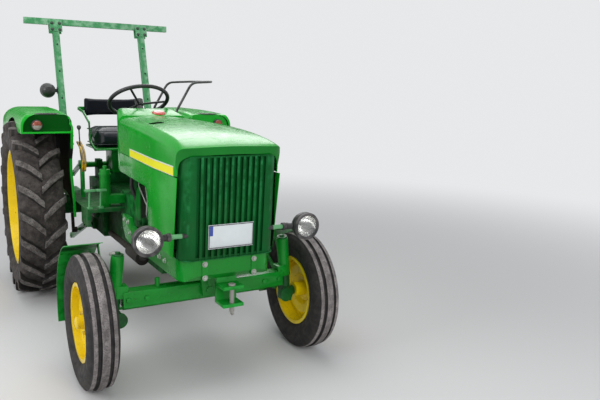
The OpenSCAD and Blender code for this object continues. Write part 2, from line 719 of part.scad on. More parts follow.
// One cross-section: upright side, rounded shoulder and crowned top
function shoulder_r(s) = 56 - 18 * s[2];
function section(s, inset) =
    let (hw = half_at(s) - inset, r = shoulder_r(s) - inset, zt = top_at(s) - inset - 15)
    concat([[-hw, bonnet_low_z], [-hw, zt - r]],
        [for (a = [170 : -10 : 90]) [-hw + r + r * cos(a), zt - r + r * sin(a)]],
        [[-hw / 2, zt + 11], [0, zt + 15], [hw / 2, zt + 11]],
        [for (a = [90 : -10 : 10]) [hw - r + r * cos(a), zt - r + r * sin(a)]],
        [[hw, zt - r], [hw, bonnet_low_z]]);
module bonnet_solid(inset, x_front) {
    hull() for (s = bonnet_stations)
        front_cut(nose_x - s[0] - 0.01 + (s[0] == 0 ? x_front : 0), nose_x - s[0] + (s[0] == 0 ? x_front : 0))
            polygon(section(s, inset));
}
module nose_opening(x0, x1) {
    hw = bonnet_half_front - 11;
    zt = nose_z - 42;
    front_cut(x0, x1)
        polygon(concat([[-hw, 700], [-hw, zt - 62]],
            [for (a = [170 : -10 : 90]) [-hw + 62 + 62 * cos(a), zt - 62 + 62 * sin(a)]],
            [for (a = [90 : -10 : 10]) [hw - 62 + 62 * cos(a), zt - 62 + 62 * sin(a)]],
            [[hw, zt - 62], [hw, 700]]));
}
// Side view of the bonnet's front edge: [distance behind the lip, distance below it]
band_edge = [[54, 260], [54, 100], [41, 70], [23, 50], [8, 36], [0, 0]];
module ahead_of_band() {
    side_cut(-400, 400) polygon(concat([for (p = band_edge) [nose_x - p[0], nose_z - p[1]]],
        [[nose_x, nose_z + 60], [nose_x + 60, nose_z + 60], [nose_x + 60, nose_z - band_edge[0][1]]]));
}
// Everything ahead of the side sheets' leaning front edges
module ahead_of_sheets() {
    translate([nose_x - 43, 0, bonnet_low_z]) rotate([0, nose_lean, 0])
        translate([0, -400, -700]) cube([300, 800, 900]);
}

slot_len = 140;
module bonnet() {
    color("#1f9a3c") from_axle() difference() {
        bonnet_solid(0, 0);
        difference() {
            translate([0, 0, -0.5]) bonnet_solid(sheet_t, 0);
            translate([nose_x - 64, -400, 1000]) cube([100, 800, 500]);
        }
        block([cowl_x - 1, -bonnet_half_rear + sheet_t + 6, bonnet_low_z - 1],
            [cowl_x + 40, bonnet_half_rear - sheet_t - 6, top_at(bonnet_stations[5]) - sheet_t - 70]);
        nose_opening(nose_x - 70, nose_x + 10);
        ahead_of_band();
        translate([nose_x - 945, -112, 1300]) rotate([0, 0, -52]) linear_extrude(200)
            union() {
                square([slot_len - 14, 14], center = true);
                for (e = [-1, 1]) translate([e * (slot_len / 2 - 7), 0]) circle(r = 7);
            }
    }
}

cowl_rear_x = cowl_x - cowl_len;
cowl_low_z = 1045;
cowl_cavity_z = 1180;
cowl_front_z = nose_z + bonnet_rise;
cowl_flat = 30;
// One end of the cowl: half width, height of the top, radius of the shoulder
module cowl_end(x, t, hw, zt, r) {
    front_cut(x, x + t)
        polygon(concat([[-hw, cowl_low_z], [-hw, zt - r]],
            [for (a = [170 : -20 : 90]) [-hw + r + r * cos(a), zt - r + r * sin(a)]],
            [for (a = [90 : -20 : 10]) [hw - r + r * cos(a), zt - r + r * sin(a)]],
            [[hw, zt - r], [hw, cowl_low_z]]));
}
module cowl() {
    color("#1f9a3c") from_axle() difference() {
        hull() {
            cowl_end(cowl_x - seat - 1, 1, bonnet_half_rear, cowl_front_z, 38);
            cowl_end(cowl_rear_x + 16, cowl_flat - 16, cowl_half_rear, cowl_top_z, 30);
            cowl_end(cowl_rear_x, 1, cowl_half_rear - 16, cowl_top_z - 8, 30);
        }
        block([cowl_rear_x + 8, -cowl_half_rear + 16, cowl_low_z - 1],
            [cowl_x - 8, cowl_half_rear - 16, cowl_cavity_z]);
        at_column() translate([0, 0, -column_len]) cylinder(h = column_len - 20, r = 22 + seat);
    }
}

// The filler cap stands on the slope of the cowl
cap_slope = atan2(cowl_top_z - cowl_front_z, cowl_len - cowl_flat);
cap_back = 56;
cap_y = 57;
module fuel_cap() {
    color("#c3261c") from_axle()
        translate([cowl_x - cap_back, cap_y, cowl_front_z + cap_back * tan(cap_slope)])
            rotate([0, cap_slope, 0])
            translate([0, 0, 2 * seat]) {
                cylinder(h = 9, r = 46);
                cylinder(h = 17, r = 34);
            }
}

// Plan of the side sheets: the same stations as the bonnet
module side_plan() {
    line = [for (s = bonnet_stations) if (s[0] > 50) [nose_x - s[0], half_at(s)]];
    polygon(concat([[nose_x, bonnet_half_front]], line, reversed([for (p = line) [p[0], p[1] - sheet_t]]),
        [[nose_x, bonnet_half_front - sheet_t]]));
}
panel_step_x = wheelbase - 190;
panel_low_z = frame_top_z + 10;
module side_panel() {
    color("#1f9a3c") difference() {
        intersection() {
            translate([0, 0, 700]) linear_extrude(500) side_plan();
            side_cut(150, 330)
                polygon([[cowl_x, cowl_low_z], [panel_step_x - 36, cowl_low_z],
                    [panel_step_x - 10, cowl_low_z - 10],
                    [panel_step_x, cowl_low_z - 36], [panel_step_x + 30, panel_low_z + 30],
                    [panel_step_x + 60, panel_low_z], [nose_x, panel_low_z],
                    [nose_x, bonnet_low_z - seat], [cowl_x, bonnet_low_z - seat]]);
        }
        ahead_of_sheets();
    }
}

// Grille: a leaning sheet with edges rolled back, a sunk field of upright bars and a lip at the foot
grille_lean = 4;
grille_foot_x = nose_x - 54;
grille_h = 545;
field_d = 20;
module at_grille() {
    translate([grille_foot_x, 0, frame_top_z + seat]) rotate([0, grille_lean, 0]) children();
}
// Plan of the sheet's front, from the right edge round to the left one
function grille_line(inset) = let (h = grille_half - inset, r = grille_r - inset)
    concat([[-grille_r - 4, -h]], [for (a = [-90 : 15 : 0]) [-grille_r + r * cos(a), -h + r + r * sin(a)]],
        [for (a = [0 : 15 : 90]) [-grille_r + r * cos(a), h - r + r * sin(a)]], [[-grille_r - 4, h]]);
module grille() {
    color("#1d7a37") from_axle() difference() {
        at_grille() {
            difference() {
                intersection() {
                    translate([0, 0, -8]) linear_extrude(grille_h + 8)
                        polygon(concat(grille_line(0), reversed(grille_line(3))));
                    front_cut(-grille_r - 5, 1)
                        polygon(concat([[-grille_half - 1, -9]],
                            [for (a = [180 : -15 : 90])
                                [-grille_half + 60 + 60 * cos(a), grille_h - 60 + 60 * sin(a)]],
                            [for (a = [90 : -15 : 0])
                                [grille_half - 60 + 60 * cos(a), grille_h - 60 + 60 * sin(a)]],
                            [[grille_half + 1, -9]]));
                }
                block([-4, -field_half, 14], [1, field_half, grille_h - 10]);
            }
            block([-field_d, -field_half - 6, -2], [-field_d + 3, field_half + 6, grille_h - 4]);
            for (y = [-field_half - 6, field_half + 3])
                block([-field_d, y, -2], [-1, y + 3, grille_h - 4]);
            block([-field_d, -field_half - 6, grille_h - 8], [-1, field_half + 6, grille_h - 4]);
            for (i = [0 : bar_count - 1])
                translate([0, (i - (bar_count - 1) / 2) * bar_pitch, 0])
                    block([-field_d + 1, -bar_w / 2, -2], [6, bar_w / 2, grille_h - 5]);
            // Lip over the nose casting
            translate([11, 0, -2]) linear_extrude(6)
                polygon(concat(grille_line(-2), reversed(grille_line(16))));
        }
        block([nose_x - 400, -400, frame_top_z - 60], [nose_x + 20, 400, frame_top_z + seat]);
        for (side = [0, 1])
            mirror([0, side, 0]) translate([lamp_front_x - lamp_stem, lamp_root_y - 20, lamp_z])
                rotate([-90, 0, 0]) cylinder(h = 60, r = lamp_arm_r + seat);
    }
}

plate_gap = 11;
module number_plate() {
    color("#e9ecef") from_axle() at_grille() translate([0, 0, 123]) {
        block([plate_gap, -plate_w / 2, -plate_h / 2], [plate_gap + 3, plate_w / 2, plate_h / 2]);
        for (i = [-2, 2])
            translate([6 + seat, i * bar_pitch, 0]) rotate([0, 90, 0]) cylinder(h = plate_gap - 5, r = 5);
    }
}

// Lamps

lamp_front_x = nose_x - 6;
lamp_root_y = grille_half - 40;
lamp_stem = 57;
lamp_arm_r = 12.5;
lens_r = lamp_r - 13;
module headlamp() {
    color("#1b1c1e") {
        translate([lamp_front_x, lamp_y, lamp_z]) rotate([0, -90, 0])
            rotate_extrude() polygon([[0, 112], [22, 108], [48, 90], [66, 62], [lamp_r - 2, 44], [lamp_r, 32],
                [lamp_r - 1, 20], [lamp_r - 5, 14], [lamp_r - 5, 4], [lamp_r - 8, 0],
                [lens_r, 0], [lens_r, 6], [lens_r - 2, 16], [48, 66], [24, 88], [0, 94]]);
        rod([lamp_front_x - 44, lamp_y - lamp_r + 16, lamp_z],
            [lamp_front_x - lamp_stem, lamp_y - lamp_r - 30, lamp_z], 17);
        translate([lamp_front_x - lamp_stem, lamp_root_y, lamp_z]) rotate([-90, 0, 0])
            cylinder(h = lamp_y - lamp_r - 24 - lamp_root_y, r = lamp_arm_r);
    }
}

module lens() {
    color("#dfe8ee") translate([lamp_front_x, lamp_y, lamp_z]) rotate([0, -90, 0])
        rotate_extrude() polygon([[0, -1], [24, -0.6], [46, 1.4], [lens_r - seat, 4.4], [lens_r - seat, 6],
            [46, 5], [24, 3], [0, 2.6]]);
}

// Rear mudguards

// The top ends in an arc at the rear: station of its centre, radius
fender_tail_x = -360;
fender_tail_r = 380;
fender_tail_z = fender_z - fender_tail_r;
fender_edge_r = 42;
// Top line of the mudguard: [distance behind the front face, share of the drop]
fender_crown = [[60, 1], [240, 0.4], [520, 0]];
function fender_top_at(x) = fender_z - fender_drop * lookup(fender_front_x - x, fender_crown);
function fender_top(inset) = let (r = fender_tail_r - inset)
    concat([for (c = fender_crown) [fender_front_x - c[0], fender_z - c[1] * fender_drop - inset]],
        [for (a = [90 : 8 : 170]) [fender_tail_x + r * cos(a), fender_tail_z + r * sin(a)]]);
module fender_solid() {
    r = fender_tail_r - 60;
    zf = fender_z - fender_drop;
    polygon(concat([[250, fender_lip_z], [fender_front_x, fender_lip_z], [fender_front_x, zf - 40],
        [fender_front_x - 4, zf - 18], [fender_front_x - 14, zf - 5],
        [fender_front_x - 34, zf]], fender_top(0),
        [[fender_tail_x + r * cos(170), fender_tail_z + r * sin(170)]]));
}
module fender_cavity() {
    front_x = fender_front_x - recess_d - sheet_t;
    back_x = fender_tail_x - fender_tail_r + sheet_t;
    polygon(concat([[front_x, 500], [front_x, fender_z - fender_drop - sheet_t]], fender_top(sheet_t),
        [[back_x, fender_tail_z], [back_x, 500]]));
}
// Front view of the mudguard down to a foot, its outer upper edge with the larger radius
module fender_face(inset, foot, zt) {
    ro = fender_round - inset;
    ri = fender_edge_r - inset;
    yo = fender_outer_y - inset;
    yi = fender_inner_y + inset;
    polygon(concat([[yi, foot], [yi, zt - ri]],
        [for (a = [165 : -15 : 90]) [yi + ri + ri * cos(a), zt - ri + ri * sin(a)]],
        [for (a = [90 : -10 : 0]) [yo - ro + ro * cos(a), zt - ro + ro * sin(a)]], [[yo, foot]]));
}
// Front edge of the inner wall, from the lip down: [distance behind the front face, height]
wall_edge = [[0, fender_lip_z + 20], [2, fender_lip_z], [28, fender_lip_z - 113], [80, fender_lip_z - 193],
    [89, fender_lip_z - 288], [47, platform_z + 97], [11, platform_z - 11], [3, platform_z - 121]];
// Lower edge of the inner wall above the axle tube
tube_gap_z = rear_tyre_r + trumpet_r + 54;
module fender() {
    edge = [for (p = wall_edge) [fender_front_x - p[0], p[1]]];
    color("#1f9a3c") {
        difference() {
            intersection() {
                side_cut(fender_inner_y, fender_outer_y) fender_solid();
                front_cut(-900, 900) fender_face(0, 600, fender_z);
            }
            intersection() {
                side_cut(fender_inner_y + sheet_t, fender_outer_y - sheet_t) fender_cavity();
                front_cut(-900, 900) fender_face(sheet_t, 400, fender_z - sheet_t);
            }
            // The recess that holds the marker
            front_cut(fender_front_x - recess_d, fender_front_x + 1)
                fender_face(14, fender_lip_z + 12, fender_z - fender_drop);
            // The outer lip follows the tyre
            side_cut(fender_inner_y + sheet_t, fender_outer_y + 1)
                translate([0, rear_tyre_r]) circle(r = rear_tyre_r + 22);
        }
        // Inner wall, from the top down to the platform and the axle tube, and the flange on its front edge
        side_cut(fender_inner_y, fender_inner_y + sheet_t)
            polygon(concat(edge, [[300, tube_gap_z - 20], [130, tube_gap_z], [-130, tube_gap_z],
                [-300, tube_gap_z + 30], [-560, tube_gap_z + 100], [-560, tube_gap_z + 300],
                [250, fender_lip_z + 40]]));
        side_cut(fender_inner_y, fender_inner_y + 19)
            polygon(concat(edge, reversed([for (p = edge) [p[0] - sheet_t, p[1]]])));
    }
}

marker_y = 680;
marker_z = fender_z - 101;
module marker() {
    color("#c04a1c") translate([fender_front_x - recess_d + seat, marker_y, marker_z]) rotate([0, 90, 0]) {
        cylinder(h = recess_d + 8, r = 37);
        translate([0, 0, recess_d + 8]) cylinder(h = 8, r = 32);
    }
}

// Platform, pedals and levers

module footplate() {
    color("#1f9a3c") {
        block([150, case_half + seat, platform_z - 6], [900, fender_inner_y - seat, platform_z]);
        block([860, case_half + 30, platform_z - 26], [900, fender_inner_y - seat, platform_z - 5]);
        block([700, fender_inner_y - 24, 656], [900, fender_inner_y - seat, platform_z - 5]);
        block([200, case_half + seat, platform_z - 36], [240, fender_inner_y - 20, platform_z - 5]);
    }
}

module pedals() {
    color("#8fae8f") from_axle() for (y = [-340, -415]) {
        rod([860, y, platform_z + seat + 7], [880, y, 900], 7);
        block([862, y - 34, 900], [912, y + 34, 912]);
        block([852, y - 16, platform_z + seat], [890, y + 16, platform_z + 12]);
    }
}

module levers() {
    color("#e8b400") from_axle() {
        for (y = [-352, -372])
            intersection() {
                side_cut(y - 3, y + 3) difference() {
                    translate([100, 880]) circle(r = 330);
                    translate([100, 880]) circle(r = 306);
                }
                block([150, y - 5, 1000], [460, y + 5, 1230]);
            }
        block([385, -380, 980], [425, -345, 1030]);
        block([385, -380, platform_z + seat], [400, -345, 1030]);
        rod([300, -362, 1000], [330, -362, 1290], 8);
        translate([330, -362, 1300]) sphere(r = 20);
        block([290, -370, 985], [400, -356, 1010]);
    }
}

// Seat

cushion_low_z = 1142;
cushion_x = [-30, 360];
// A flat bar along a line of points, drawn in X and Z
module bar_line(points, w) {
    for (i = [1 : len(points) - 1])
        let (a = points[i - 1], d = points[i] - a)
            translate(a) rotate([0, 0, atan2(d[1], d[0])]) translate([0, -w / 2]) square([norm(d), w]);
    for (i = [1 : len(points) - 2])
        translate(points[i]) circle(r = w / 2 + 0.5);
}
module seat_frame() {
    y = cushion_w / 2 + 16;
    front = [cushion_x[1] + 40, cushion_low_z - 8];
    color("#1f9a3c") from_axle() {
        block([cushion_x[0], -y + 20, cushion_low_z - 16], [front[0], y - 20, cushion_low_z - seat]);
        rod([front[0], -y, front[1]], [front[0], y, front[1]], 8);
        block([0, -90, 930 + seat], [200, 90, cushion_low_z - 15]);
        both_sides() side_cut(y - 5, y + 5)
            bar_line([front, [228, 1180], [207, 1328], [0, 1400], [-190, 1420]], 20);
        block([-188, -y + 2, 1404], [-178 - seat, y - 2, 1436]);
    }
}

module seat_cushion() {
    color("#1c1e22") from_axle() side_cut(-cushion_w / 2, cushion_w / 2)
        polygon(concat([[cushion_x[0], cushion_low_z]],
            [for (a = [-90 : 15 : 90])
                [cushion_x[1] - 50 + 50 * cos(a), cushion_low_z + 60 + (a < 0 ? 60 : 70) * sin(a)]],
            [[cushion_x[0] + 120, cushion_low_z + cushion_t - 12],
                [cushion_x[0] + 20, cushion_low_z + cushion_t]],
            [[cushion_x[0], cushion_low_z + cushion_t - 20]]));
}

module seat_backrest() {
    color("#1c1e22") from_axle() front_cut(-178, -118)
        polygon([for (c = [[-1, -1], [1, -1], [1, 1], [-1, 1]], a = [0 : 30 : 90])
            let (t = a + (c[0] < 0 ? (c[1] < 0 ? 180 : 90) : (c[1] < 0 ? 270 : 0)))
            [c[0] * (backrest_w / 2 - 26) + 26 * cos(t),
                1360 + backrest_h / 2 + c[1] * (backrest_h / 2 - 26) + 26 * sin(t)]]);
}

// Roll bar with lamp and rail

post_lean = 16.2;
post_top_x = -530;
module at_post(z) {
    translate([post_top_x + (rollbar_z - z) * tan(post_lean), post_y, z])
        rotate([0, -post_lean, 0]) children();
}
post_foot_z = rear_tyre_r + trumpet_r;
module roll_bar() {
    h = bar_tube / 2;
    color("#3fa35a") from_axle() {
        block([post_top_x - h, -cross_half, rollbar_z - bar_tube], [post_top_x + h, cross_half, rollbar_z]);
        both_sides() {
            at_post(post_foot_z + 20) translate([-h, -h, 0])
                cube([bar_tube, bar_tube, (rollbar_z - post_foot_z - 20 - bar_tube) / cos(post_lean)]);
            at_post(rollbar_z - 112) translate([h - 1, -50, 0]) cube([7, 100, 100]);
            at_post(rollbar_z - 112) translate([-h - 6, -50, 0]) cube([7, 100, 100]);
            block([-170, post_y - 60, post_foot_z + seat], [50, post_y + 60, post_foot_z + 34]);
        }
    }
}

// Work lamp on the outer side of the right post, its glass to the rear
work_lamp_z = fender_z + 132;
work_lamp_at = [post_top_x + (rollbar_z - work_lamp_z) * tan(post_lean) + 29, -post_y - 106, work_lamp_z];
module work_lamp() {
    post_face = post_y + bar_tube / 2 + seat;
    color("#1b1c1e") from_axle() {
        translate(work_lamp_at) rotate([0, -90, 0])
            rotate_extrude() polygon([[0, -54], [30, -48], [52, -26], [60, 6], [60, 30], [0, 30]]);
        block([work_lamp_at[0] - 29, work_lamp_at[1] + 40, work_lamp_at[2] - 14],
            [work_lamp_at[0] - 12, -post_face - 4, work_lamp_at[2] + 14]);
        block([work_lamp_at[0] - 52, -post_face - 6, work_lamp_at[2] - 26],
            [work_lamp_at[0] - 6, -post_face, work_lamp_at[2] + 26]);
    }
}

// A bent bar through a line of points
module chain(points, r) {
    for (i = [1 : len(points) - 1]) rod(points[i - 1], points[i], r);
    for (i = [1 : len(points) - 2]) translate(points[i]) sphere(r = r + 1);
}
rail_x = [250, -355];
rail_r = 10;
rail_foot_y = fender_inner_y - rail_r - seat;
// One leg of the rail, from its foot on the mudguard's wall up to the corner
// [distance from the middle plane, height over the mudguard's crown]
rail_points = [[rail_foot_y, -88], [rail_foot_y, -8], [560, 222], [755, 234]];
function rail_leg(x) = [for (p = rail_points) [x, p[0], fender_z + p[1]]];
module grab_rail() {
    color("#1b1c1e") from_axle() chain(concat(rail_leg(rail_x[0]), reversed(rail_leg(rail_x[1]))), rail_r);
}

// Rear linkage and drawbar

link_pin_z = 470;
lift_pin = [-150, 960];
module drawbar() {
    color("#1d6b31") from_axle() difference() {
        union() {
            block([-520, -40, 395], [-240 - seat, 40, 430 - seat]);
            block([-290, -110, 360], [-240 - seat, 110, 560]);
            block([-520, -60, 330], [-420, 60, 350]);
            block([-440, -60, 330], [-420, 60, 430 - seat]);
        }
        translate([-480, 0, 300]) cylinder(h = 200, r = 13);
    }
}

module lift_arms() {
    color("#1d6b31") from_axle() translate([lift_pin[0], 0, lift_pin[1]]) {
        rotate([90, 0, 0]) cylinder(h = 500, r = lift_shaft_r, center = true);
        both_sides() rotate([0, -arm_drop, 0]) difference() {
            union() {
                block([-lift_arm, 258, -20], [0, 280, 20]);
                translate([-lift_arm, 258, 0]) rotate([-90, 0, 0]) cylinder(h = 22, r = 24);
                translate([0, 230, 0]) rotate([-90, 0, 0]) cylinder(h = 50, r = 38);
            }
            translate([-lift_arm, 250, 0]) rotate([-90, 0, 0]) cylinder(h = 40, r = link_pin_r + pin_gap);
        }
    }
}

module lower_link() {
    color("#1d6b31") translate([link_pin_x, 0, link_pin_z]) rotate([0, -arm_drop, 0]) difference() {
        union() {
            block([-link_len, 232, -26], [0, 254, 26]);
            translate([0, 226, 0]) rotate([-90, 0, 0]) cylinder(h = 30, r = 30);
            translate([-link_len, 226, 0]) rotate([-90, 0, 0]) cylinder(h = 34, r = link_eye_r);
            translate([-lift_arm, 250, 0]) rotate([-90, 0, 0]) cylinder(h = 34, r = link_pin_r);
        }
        translate([0, 200, 0]) rotate([-90, 0, 0]) cylinder(h = 80, r = link_pin_r + pin_gap);
        translate([-link_len, 200, 0]) rotate([-90, 0, 0]) cylinder(h = 80, r = link_pin_r + pin_gap);
    }
}

module lift_rod() {
    top = [lift_pin[0] - lift_arm * cos(arm_drop), 0, lift_pin[1] - lift_arm * sin(arm_drop)];
    foot = [link_pin_x - lift_arm * cos(arm_drop), 0, link_pin_z - lift_arm * sin(arm_drop)];
    color("#2c2f2c") difference() {
        union() {
            rod(foot + [0, 296, 0], top + [0, 296, 0], 14);
            translate(top + [0, 286, 0]) rotate([-90, 0, 0]) cylinder(h = 20, r = 24);
            translate(foot + [0, 264, 0]) rotate([-90, 0, 0]) cylinder(h = 42, r = 24);
            translate(top + [0, 256, 0]) rotate([-90, 0, 0]) cylinder(h = 40, r = link_pin_r);
        }
        translate(foot + [0, 240, 0]) rotate([-90, 0, 0]) cylinder(h = 48, r = link_pin_r + 1);
    }
}

front_frame();
front_axle();
front_hitch();
hitch_pin();
engine_block();
cylinders();
air_duct();
engine_fittings();
exhaust();
gearbox();
oil_reservoir();
rear_axle();
bonnet();
cowl();
fuel_cap();
from_axle() mirror([0, 1, 0]) side_panel();  // side_panel_right
from_axle() side_panel();  // side_panel_left
grille();
number_plate();
from_axle() mirror([0, 1, 0]) headlamp();  // headlamp_right
from_axle() headlamp();  // headlamp_left
from_axle() mirror([0, 1, 0]) lens();  // lens_right
from_axle() lens();  // lens_left
from_axle() mirror([0, 1, 0]) fender();  // fender_right
from_axle() fender();  // fender_left
from_axle() mirror([0, 1, 0]) marker();  // marker_right
from_axle() marker();  // marker_left
from_axle() mirror([0, 1, 0]) footplate();  // footplate_right
from_axle() footplate();  // footplate_left
pedals();
levers();
steering_column();
steering_wheel();
seat_frame();
seat_cushion();
seat_backrest();
roll_bar();
work_lamp();
grab_rail();
drawbar();
from_axle() mirror([0, 1, 0]) knuckle();  // knuckle_right
from_axle() knuckle();  // knuckle_left
from_axle() mirror([0, 1, 0]) mudguard();  // mudguard_right
from_axle() mudguard();  // mudguard_left
tie_rod();
from_axle() mirror([0, 1, 0]) front_tyre();  // front_tyre_right
from_axle() front_tyre();  // front_tyre_left
from_axle() mirror([0, 1, 0]) front_rim();  // front_rim_right
from_axle() front_rim();  // front_rim_left
from_axle() mirror([0, 1, 0]) rear_tyre();  // rear_tyre_right
from_axle() rear_tyre();  // rear_tyre_left
from_axle() mirror([0, 1, 0]) rear_rim();  // rear_rim_right
from_axle() rear_rim();  // rear_rim_left
lift_arms();
from_axle() mirror([0, 1, 0]) lower_link();  // lower_link_right
from_axle() lower_link();  // lower_link_left
from_axle() mirror([0, 1, 0]) lift_rod();  // lift_rod_right
from_axle() lift_rod();  // lift_rod_left
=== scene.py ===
import json
import math

import bpy
from mathutils import Matrix, Quaternion, Vector

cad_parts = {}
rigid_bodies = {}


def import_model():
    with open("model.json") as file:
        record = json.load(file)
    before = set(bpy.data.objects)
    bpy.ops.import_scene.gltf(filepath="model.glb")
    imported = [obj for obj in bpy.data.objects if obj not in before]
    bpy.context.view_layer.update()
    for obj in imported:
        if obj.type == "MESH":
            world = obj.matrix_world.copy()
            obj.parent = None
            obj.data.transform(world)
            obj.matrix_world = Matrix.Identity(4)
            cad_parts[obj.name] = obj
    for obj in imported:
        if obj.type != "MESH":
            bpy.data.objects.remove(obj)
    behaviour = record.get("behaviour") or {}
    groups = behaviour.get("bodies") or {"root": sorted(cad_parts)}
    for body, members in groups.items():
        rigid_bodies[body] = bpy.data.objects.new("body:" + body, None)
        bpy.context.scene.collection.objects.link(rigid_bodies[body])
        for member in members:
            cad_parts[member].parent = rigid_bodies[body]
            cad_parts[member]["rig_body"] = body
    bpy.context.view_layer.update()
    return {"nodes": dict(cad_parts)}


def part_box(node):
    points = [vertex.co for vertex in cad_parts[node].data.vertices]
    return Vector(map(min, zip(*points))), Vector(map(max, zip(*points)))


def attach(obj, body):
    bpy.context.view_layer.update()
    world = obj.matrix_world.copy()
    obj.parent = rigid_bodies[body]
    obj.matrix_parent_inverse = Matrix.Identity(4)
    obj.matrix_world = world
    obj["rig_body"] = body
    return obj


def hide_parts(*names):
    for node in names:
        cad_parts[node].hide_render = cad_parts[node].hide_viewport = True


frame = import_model()
nodes = frame["nodes"]
bpy.ops.object.select_all(action="DESELECT")


# Camera: it stands ahead of the tractor on its right, at a standing person's eye level, and looks slightly
# down. Places are given as on the drawing, in millimetres ahead of the rear axle, left of the middle and
# above the ground.
axle_x = 780.61


def at(x, y, z):
    """A place on the drawing as a place in the scene, in metres."""
    return Vector(((x - axle_x) / 1000, y / 1000, z / 1000))


yaw, pitch, roll = 2.614, -0.173, 0.024
look = Vector((math.cos(yaw) * math.cos(pitch), math.sin(yaw) * math.cos(pitch), math.sin(pitch)))
turn = look.to_track_quat("-Z", "Y") @ Quaternion((0, 0, 1), roll)
bpy.ops.object.camera_add(location=at(5315, -1337, 1626), rotation=turn.to_euler())
camera = bpy.context.object
camera.data.lens = 38.35
camera.data.sensor_width = 36
camera.data.clip_end = 200
bpy.context.scene.camera = camera


# Studio: a pale seamless floor, an even pale surround and four soft boxes; the big one overhead stands for
# the sky. The box behind shows only in the gloss of the paint. A black flag darkens what the tops mirror near
# the horizon.
def wire(tree, *pairs):
    """Links each pair of an output and an input."""
    for a, b in pairs:
        tree.links.new(a, b)


def added(tree, kind, **values):
    """A new shader node with its inputs set. An underscore in a name stands for a space."""
    made = tree.nodes.new("ShaderNode" + kind)
    for key, value in values.items():
        made.inputs[key.replace("_", " ")].default_value = value
    return made


def own_place(tree):
    """The piece's own coordinates, in metres."""
    return added(tree, "TexCoord").outputs["Object"]


def figured(tree, operation, a, b):
    """A sum on two sockets, or on a socket and a number."""
    made = added(tree, "Math")
    made.operation = operation
    for socket, value in zip(made.inputs, (a, b)):
        if isinstance(value, float):
            socket.default_value = value
        else:
            wire(tree, (value, socket))
    return made.outputs[0]


def material(name, rough, metal=0.0, coat=0.0, specular=0.5):
    """A new material with its shader's constants set on the shader's own sockets."""
    made = bpy.data.materials.new(name)
    made.use_nodes = True
    shader = made.node_tree.nodes["Principled BSDF"]
    shader.inputs["Roughness"].default_value = rough
    shader.inputs["Metallic"].default_value = metal
    shader.inputs["Specular IOR Level"].default_value = specular
    shader.inputs["Coat Weight"].default_value = coat
    shader.inputs["Coat Roughness"].default_value = 0.10
    return made


horizon = (0.80, 0.81, 0.82, 1)
bpy.ops.mesh.primitive_plane_add(size=60)
floor = bpy.context.object
floor.name = "studio_floor"
floor_paint = material("studio_floor", 0.9, specular=0.2)
tree = floor_paint.node_tree
shader = tree.nodes["Principled BSDF"]
shader.inputs["Base Color"].default_value = (0.62, 0.615, 0.61, 1)
far_off = added(tree, "Emission", Color=horizon)
distance = added(tree, "VectorMath")
distance.operation = "LENGTH"
fading = added(tree, "MapRange", From_Min=2.2, From_Max=8.0)
fading.interpolation_type = "SMOOTHSTEP"
faded = added(tree, "MixShader")
wire(tree, (own_place(tree), distance.inputs[0]), (distance.outputs["Value"], fading.inputs["Value"]),
     (fading.outputs["Result"], faded.inputs["Fac"]), (shader.outputs[0], faded.inputs[1]),
     (far_off.outputs[0], faded.inputs[2]),
     (faded.outputs[0], tree.nodes["Material Output"].inputs["Surface"]))
floor.data.materials.append(floor_paint)

world = bpy.data.worlds.new("studio_surround")
bpy.context.scene.world = world
world.use_nodes = True
tree = world.node_tree
lit = tree.nodes["Background"]
lit.inputs["Color"].default_value = (0.90, 0.95, 1.0, 1)
lit.inputs["Strength"].default_value = 0.42
seen = added(tree, "Background", Color=horizon, Strength=1.0)
path = added(tree, "LightPath")
direct = figured(tree, "MAXIMUM", path.outputs["Is Camera Ray"], path.outputs["Is Glossy Ray"])
direct = figured(tree, "MAXIMUM", direct, path.outputs["Is Transmission Ray"])
blend = added(tree, "MixShader")
wire(tree, (direct, blend.inputs["Fac"]), (lit.outputs[0], blend.inputs[1]),
     (seen.outputs[0], blend.inputs[2]), (blend.outputs[0], tree.nodes["World Output"].inputs["Surface"]))
bpy.context.scene.view_settings.view_transform = "Standard"


def soft_box(name, place, aim, size, power):
    """A rectangular light that faces its aim, with its size in metres and its power in watts."""
    facing = (aim - place).to_track_quat("-Z", "Y").to_euler()
    bpy.ops.object.light_add(type="AREA", location=place, rotation=facing)
    lamp = bpy.context.object
    lamp.name = name
    lamp.data.shape = "RECTANGLE"
    lamp.data.size, lamp.data.size_y = size
    lamp.data.energy = power
    return lamp


soft_box("overhead_box", Vector((-0.2, -0.4, 5.4)), Vector((0.1, 0, 0)), (7.0, 5.0), 170)
soft_box("side_box", Vector((1.2, -5.0, 3.2)), Vector((0.2, 0, 0.8)), (2.6, 2.4), 120)
front_box = soft_box("front_box", Vector((6.2, -0.4, 2.6)), Vector((0.6, 0, 0.8)), (3.0, 2.4), 150)
front_box.visible_glossy = False
back_box = soft_box("back_box", Vector((-4.5, 2.5, 5.0)), Vector((0.9, 0, 1.4)), (3.4, 3.6), 150)
back_box.visible_camera = False
back_box.visible_diffuse = False
bpy.ops.mesh.primitive_plane_add(size=1, location=(-6.4, 2.6, 1.95),
                                 rotation=(math.radians(90), 0, math.radians(70)))
flag = bpy.context.object
flag.name = "black_flag"
flag.scale = (9.0, 2.0, 1)
bpy.ops.object.transform_apply(location=True, rotation=True, scale=True)
flag_cloth = material("flag_cloth", 0.95)
flag_cloth.node_tree.nodes["Principled BSDF"].inputs["Base Color"].default_value = (0.03, 0.045, 0.03, 1)
flag.data.materials.append(flag_cloth)
flag.visible_camera = flag.visible_diffuse = flag.visible_shadow = flag.visible_transmission = False


